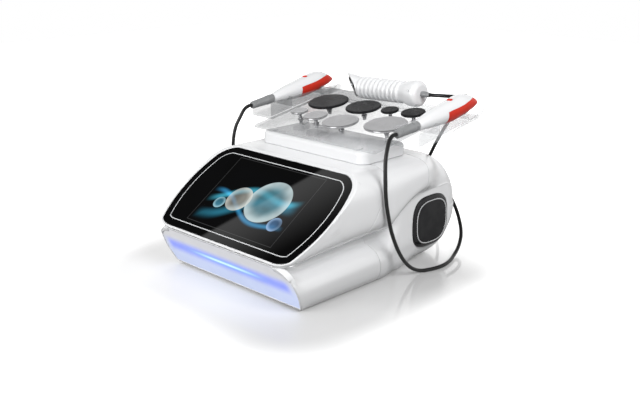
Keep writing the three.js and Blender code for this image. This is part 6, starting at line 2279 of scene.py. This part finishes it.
def tail_profile():
    """Radii along the grip from its waist under the ribs to its flared right end."""
    outline = [
        (16.8, RIB_START), (16.8, RIB_END), (17.4, 48), (19.0, 54), (21.2, 61), (22, 68),
        (22, GRIP_RIGHT - 5.5), (16.5, GRIP_RIGHT), (10, GRIP_RIGHT),
    ]
    return rounded_outline(outline, 4, closed=False)


def make_grip_plate():
    """Dark plate on the oblique end, with rounded edges."""
    facing = head_facing()
    down = Vector((0, 0, -1))
    down = (down - facing * down.dot(facing)).normalized()
    seat = GRIP_FRAME @ (Vector((HEAD_X, 0, HEAD_RISE)) + down * PLATE_DROP + facing * SEAT_GAP)
    axis = GRIP_FRAME.to_3x3() @ facing
    plate = lathe("grip_end_plate", GRIP_PLATE_PROFILE, seat, axis, "black_gloss", 96, SHARP_SMALL)
    dress(plate, "grip", ["grip_plate"])


def make_ribs():
    """Ribs round the waist, laid out by geometry nodes."""
    tree, inputs, sockets = new_group("Grip ribs", {
        "Count": "Int", "Pitch": "Float", "Ring radius": "Float", "Bead radius": "Float",
    })
    offset = node_from("ShaderNodeCombineXYZ", {"Z": inputs["Pitch"]}).outputs[0]
    line = node_from("GeometryNodeMeshLine", {"Count": inputs["Count"], "Offset": offset})
    hoop, bead = (
        node_from("GeometryNodeCurvePrimitiveCircle", {"Resolution": sides, "Radius": inputs[key]})
        for sides, key in ((96, "Ring radius"), (20, "Bead radius"))
    )
    oval = node_from("GeometryNodeTransform", {"Geometry": bead.outputs[0], "Scale": (1.0, 1.35, 1.0)})
    curves = {"Curve": hoop.outputs[0], "Profile Curve": oval.outputs[0]}
    rib = node_from("GeometryNodeCurveToMesh", curves)
    end_group(tree, {"Points": line.outputs[0], "Instance": rib.outputs[0]}, "white_gloss")
    count = sizes().grip_ribs
    piece = node_made_piece("grip_ribs", bpy.data.meshes.new("grip_ribs"), tree, {
        sockets["Count"]: count,
        sockets["Pitch"]: (RIB_END - RIB_START) / (count - 0.4) * MM,
        sockets["Ring radius"]: (RIB_RADIUS - RIB_RISE) * MM,
        sockets["Bead radius"]: RIB_RISE * MM,
    })
    turn = Vector((0, 0, 1)).rotation_difference(GRIP_AXIS).to_matrix().to_4x4()
    start = GRIP_PLACE + GRIP_AXIS * (RIB_START + 3.4)
    piece.data.transform(Matrix.Translation(start * MM) @ turn)
    dress(piece, "grip", [], "white_gloss")


def make_grip_collar():
    profile = [(radius, GRIP_RIGHT + SEAT_GAP + along) for radius, along in GRIP_COLLAR_PROFILE]
    collar = turned_about_grip("grip_cable_end", profile, "grey_plastic", 56)
    dress(collar, "grip", ["grip_collar"])


def make_grip_screws():
    """Dimple screws on the head and the tail of the grip."""
    axis = Vector((0, -0.95, 0.31)).normalized()
    heads = []
    for along, radius in GRIP_SCREWS:
        centre = GRIP_PLACE + GRIP_AXIS * along + axis * (radius - 0.9)
        heads.append(lathe("grip_screw", GRIP_SCREW_PROFILE, centre, axis, "silver_trim", 24))
    dress(join("grip_screws", heads, "silver_trim"), "grip", [])


class MACHINE_OT_grip(bpy.types.Operator):
    """Makes the ribbed grip across the back, with its oblique head, dark plate and cable collar"""

    bl_idname = "machine.grip"
    bl_label = "Ribbed grip"

    def execute(self, context):
        rings = head_rings(0, 0)
        rings += [facing_ring(Vector((x, 0, 0)), LEFTWARD, radius) for radius, x in tail_profile()]
        shell = lofted("grip_body", rings, "white_gloss", SHARP_SMALL)
        dress(shell, "grip", ["grip_shell"])
        make_ribs()
        make_grip_plate()
        make_grip_collar()
        make_grip_screws()
        return {"FINISHED"}


# Feet, connector panel and its fittings

FOOT_PLACES = (
    ("front_left", -98, -150), ("rear_left", -98, 112), ("front_right", 98, -150), ("rear_right", 98, 112),
)
FOOT_PROFILE = (
    (0, 0.6), (7.6, 0.6), (8.2, 0), (10, 0), (10.7, 0.25), (11, 0.9), (11, 3.6), (10.6, 4), (0, 4),
)
SOCKET_FACE = 191.3
SOCKETS = {"left": -76, "middle": 44, "right": 76}
SOCKET_Z = 92.0
SOCKET_PROFILE = (
    (5.2, -12.5), (6, -12.5), (6, 0.3), (8, 0.3), (8, 1.4), (7.6, 1.9), (7, 2), (5.6, 2), (5.2, 1.6),
    (5.2, -12.5),
)
SCREW_SPOTS = (
    (-85.5, 56.5), (85.5, 56.5), (-85.5, 111.5), (85.5, 111.5), (-55, 56), (-17, 56), (-55, 112), (-17, 112),
)
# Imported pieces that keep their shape: edge, slot, body and parts of each rounded edge
ROUNDED_NODES = {
    "rear_panel": (0.35, "black_plastic", "housing", 2),
    "inlet_body": (0.35, "black_plastic", "housing", 2),
    "fuse_drawer": (0.4, "black_plastic", "drawer", 2),
    "power_rocker": (0.6, "black_gloss", "rocker", 3),
    "fan_frame": (0.4, "black_plastic", "housing", 2),
    "fan_rotor": (0.3, "black_plastic", "rotor", 2),
}


class MACHINE_OT_feet(bpy.types.Operator):
    """Makes the four rubber feet"""

    bl_idname = "machine.feet"
    bl_label = "Feet"

    def execute(self, context):
        for name, x, y in FOOT_PLACES:
            foot = lathe(f"rubber_foot_{name}", FOOT_PROFILE, (x, y, 0), (0, 0, 1), "lead_rubber", 56)
            dress(foot, "housing", [f"foot_{name}"])
        return {"FINISHED"}


def rounded_copy(node, edge, slot, body, segments):
    """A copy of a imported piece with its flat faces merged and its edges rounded."""
    form = bmesh.new()
    form.from_mesh(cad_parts[node].data)
    bmesh.ops.remove_doubles(form, verts=form.verts, dist=WELD)
    bmesh.ops.dissolve_limit(form, angle_limit=math.radians(2), verts=form.verts, edges=form.edges)
    piece = add_piece(f"{node}_finished", form, slot)
    round_edges(piece, edge, segments)
    dress(piece, body, [node], slot)


def make_sockets():
    jacks = {}
    for name, x in SOCKETS.items():
        place = (x, SOCKET_FACE, SOCKET_Z)
        jacks[name] = lathe(f"{name}_jack", SOCKET_PROFILE, place, (0, 1, 0), "black_gloss", 48)
    dress(jacks["left"], "housing", ["left_lead_socket"])
    low = (SOCKETS["middle"] + 7.4, SOCKET_FACE, SOCKET_Z - 4)
    high = (SOCKETS["right"] - 7.4, SOCKET_FACE + 2, SOCKET_Z + 4)
    bridge = solid_box("jack_bridge", low, high, "black_gloss", 0.4)
    twin = join("twin_jacks", [jacks["middle"], jacks["right"], bridge], "black_gloss")
    dress(twin, "housing", ["twin_lead_socket"])


def make_panel_screws():
    """Cross-head screws of the panel and the fan, placed by geometry nodes."""
    head = screw_head()
    spots = bpy.data.meshes.new("screw_spots")
    spots.from_pydata([placed(x, SOCKET_FACE - 0.4, z) for x, z in SCREW_SPOTS], [], [])
    kinds = {"Geometry": "Geometry", "Head": "Object", "Radius": "Float"}
    tree, inputs, sockets = new_group("Panel screws", kinds)
    shape = node_from("GeometryNodeObjectInfo", {"Object": inputs["Head"]})
    number = tree.nodes.new("GeometryNodeInputIndex")
    angle = product(number.outputs[0], 0.7)
    turn = node_from("ShaderNodeCombineXYZ", {"Y": angle})
    turned = node_from("FunctionNodeEulerToRotation", {0: turn.outputs[0]})
    laid = {
        "Points": inputs["Geometry"], "Instance": shape.outputs["Geometry"],
        "Rotation": turned.outputs[0], "Scale": inputs["Radius"],
    }
    end_group(tree, laid, "sheet_metal")
    values = {sockets["Head"]: head, sockets["Radius"]: sizes().screw_radius}
    piece = node_made_piece("panel_screws", spots, tree, values)
    bpy.data.objects.remove(head)
    dress(piece, "housing", [], "sheet_metal")


def screw_head():
    """A cross-head screw of unit radius that faces +Y."""
    profile = [(0, 0), (1000, 0), (1000, 350), (900, 520), (550, 640), (0, 660)]
    head = lathe("screw_head", profile, (0, 0, 0), (0, 1, 0), "sheet_metal", 20)
    corners = (((-520, 300, -130), (520, 900, 130)), ((-130, 300, -520), (130, 900, 520)))
    return cut(head, [solid_box("slot", low, high, "sheet_metal") for low, high in corners])


class MACHINE_OT_rear_fittings(bpy.types.Operator):
    """Makes the connector panel with its sockets, power inlet, switch, fuse drawer, fan and screws"""

    bl_idname = "machine.rear_fittings"
    bl_label = "Rear fittings"

    def execute(self, context):
        for node, values in ROUNDED_NODES.items():
            rounded_copy(node, *values)
        make_sockets()
        make_panel_screws()
        return {"FINISHED"}


class MACHINE_PT_machine(bpy.types.Panel):
    """Lists the machine's pieces and its settings"""

    bl_label = "Machine"
    bl_space_type = "VIEW_3D"
    bl_region_type = "UI"
    bl_category = "Machine"

    def draw(self, context):
        for settings in (context.scene.machine_sizes, context.scene.machine_colours):
            for key in settings.__annotations__:
                self.layout.prop(settings, key)
        for operator in OPERATORS:
            self.layout.operator(operator.bl_idname)


OPERATORS = (
    MACHINE_OT_finishes,
    MACHINE_OT_stage,
    MACHINE_OT_leads,
    MACHINE_OT_upper_moulding,
    MACHINE_OT_middle_moulding,
    MACHINE_OT_base_moulding,
    MACHINE_OT_rear_moulding,
    MACHINE_OT_front_panel,
    MACHINE_OT_touch_glass,
    MACHINE_OT_pod_caps,
    MACHINE_OT_plinth,
    MACHINE_OT_tray,
    MACHINE_OT_electrodes,
    MACHINE_OT_handpieces,
    MACHINE_OT_grip,
    MACHINE_OT_feet,
    MACHINE_OT_rear_fittings,
)
CLASSES = (MachineSizes, MachineColours, *OPERATORS, MACHINE_PT_machine)


def register():
    for each in CLASSES:
        bpy.utils.register_class(each)
    bpy.types.Scene.machine_sizes = PointerProperty(type=MachineSizes)
    bpy.types.Scene.machine_colours = PointerProperty(type=MachineColours)


def unregister():
    del bpy.types.Scene.machine_colours
    del bpy.types.Scene.machine_sizes
    for each in reversed(CLASSES):
        bpy.utils.unregister_class(each)


def main():
    register()
    for operator in OPERATORS:
        group, name = operator.bl_idname.split(".")
        getattr(getattr(bpy.ops, group), name)()


if __name__ == "__main__":
    main()
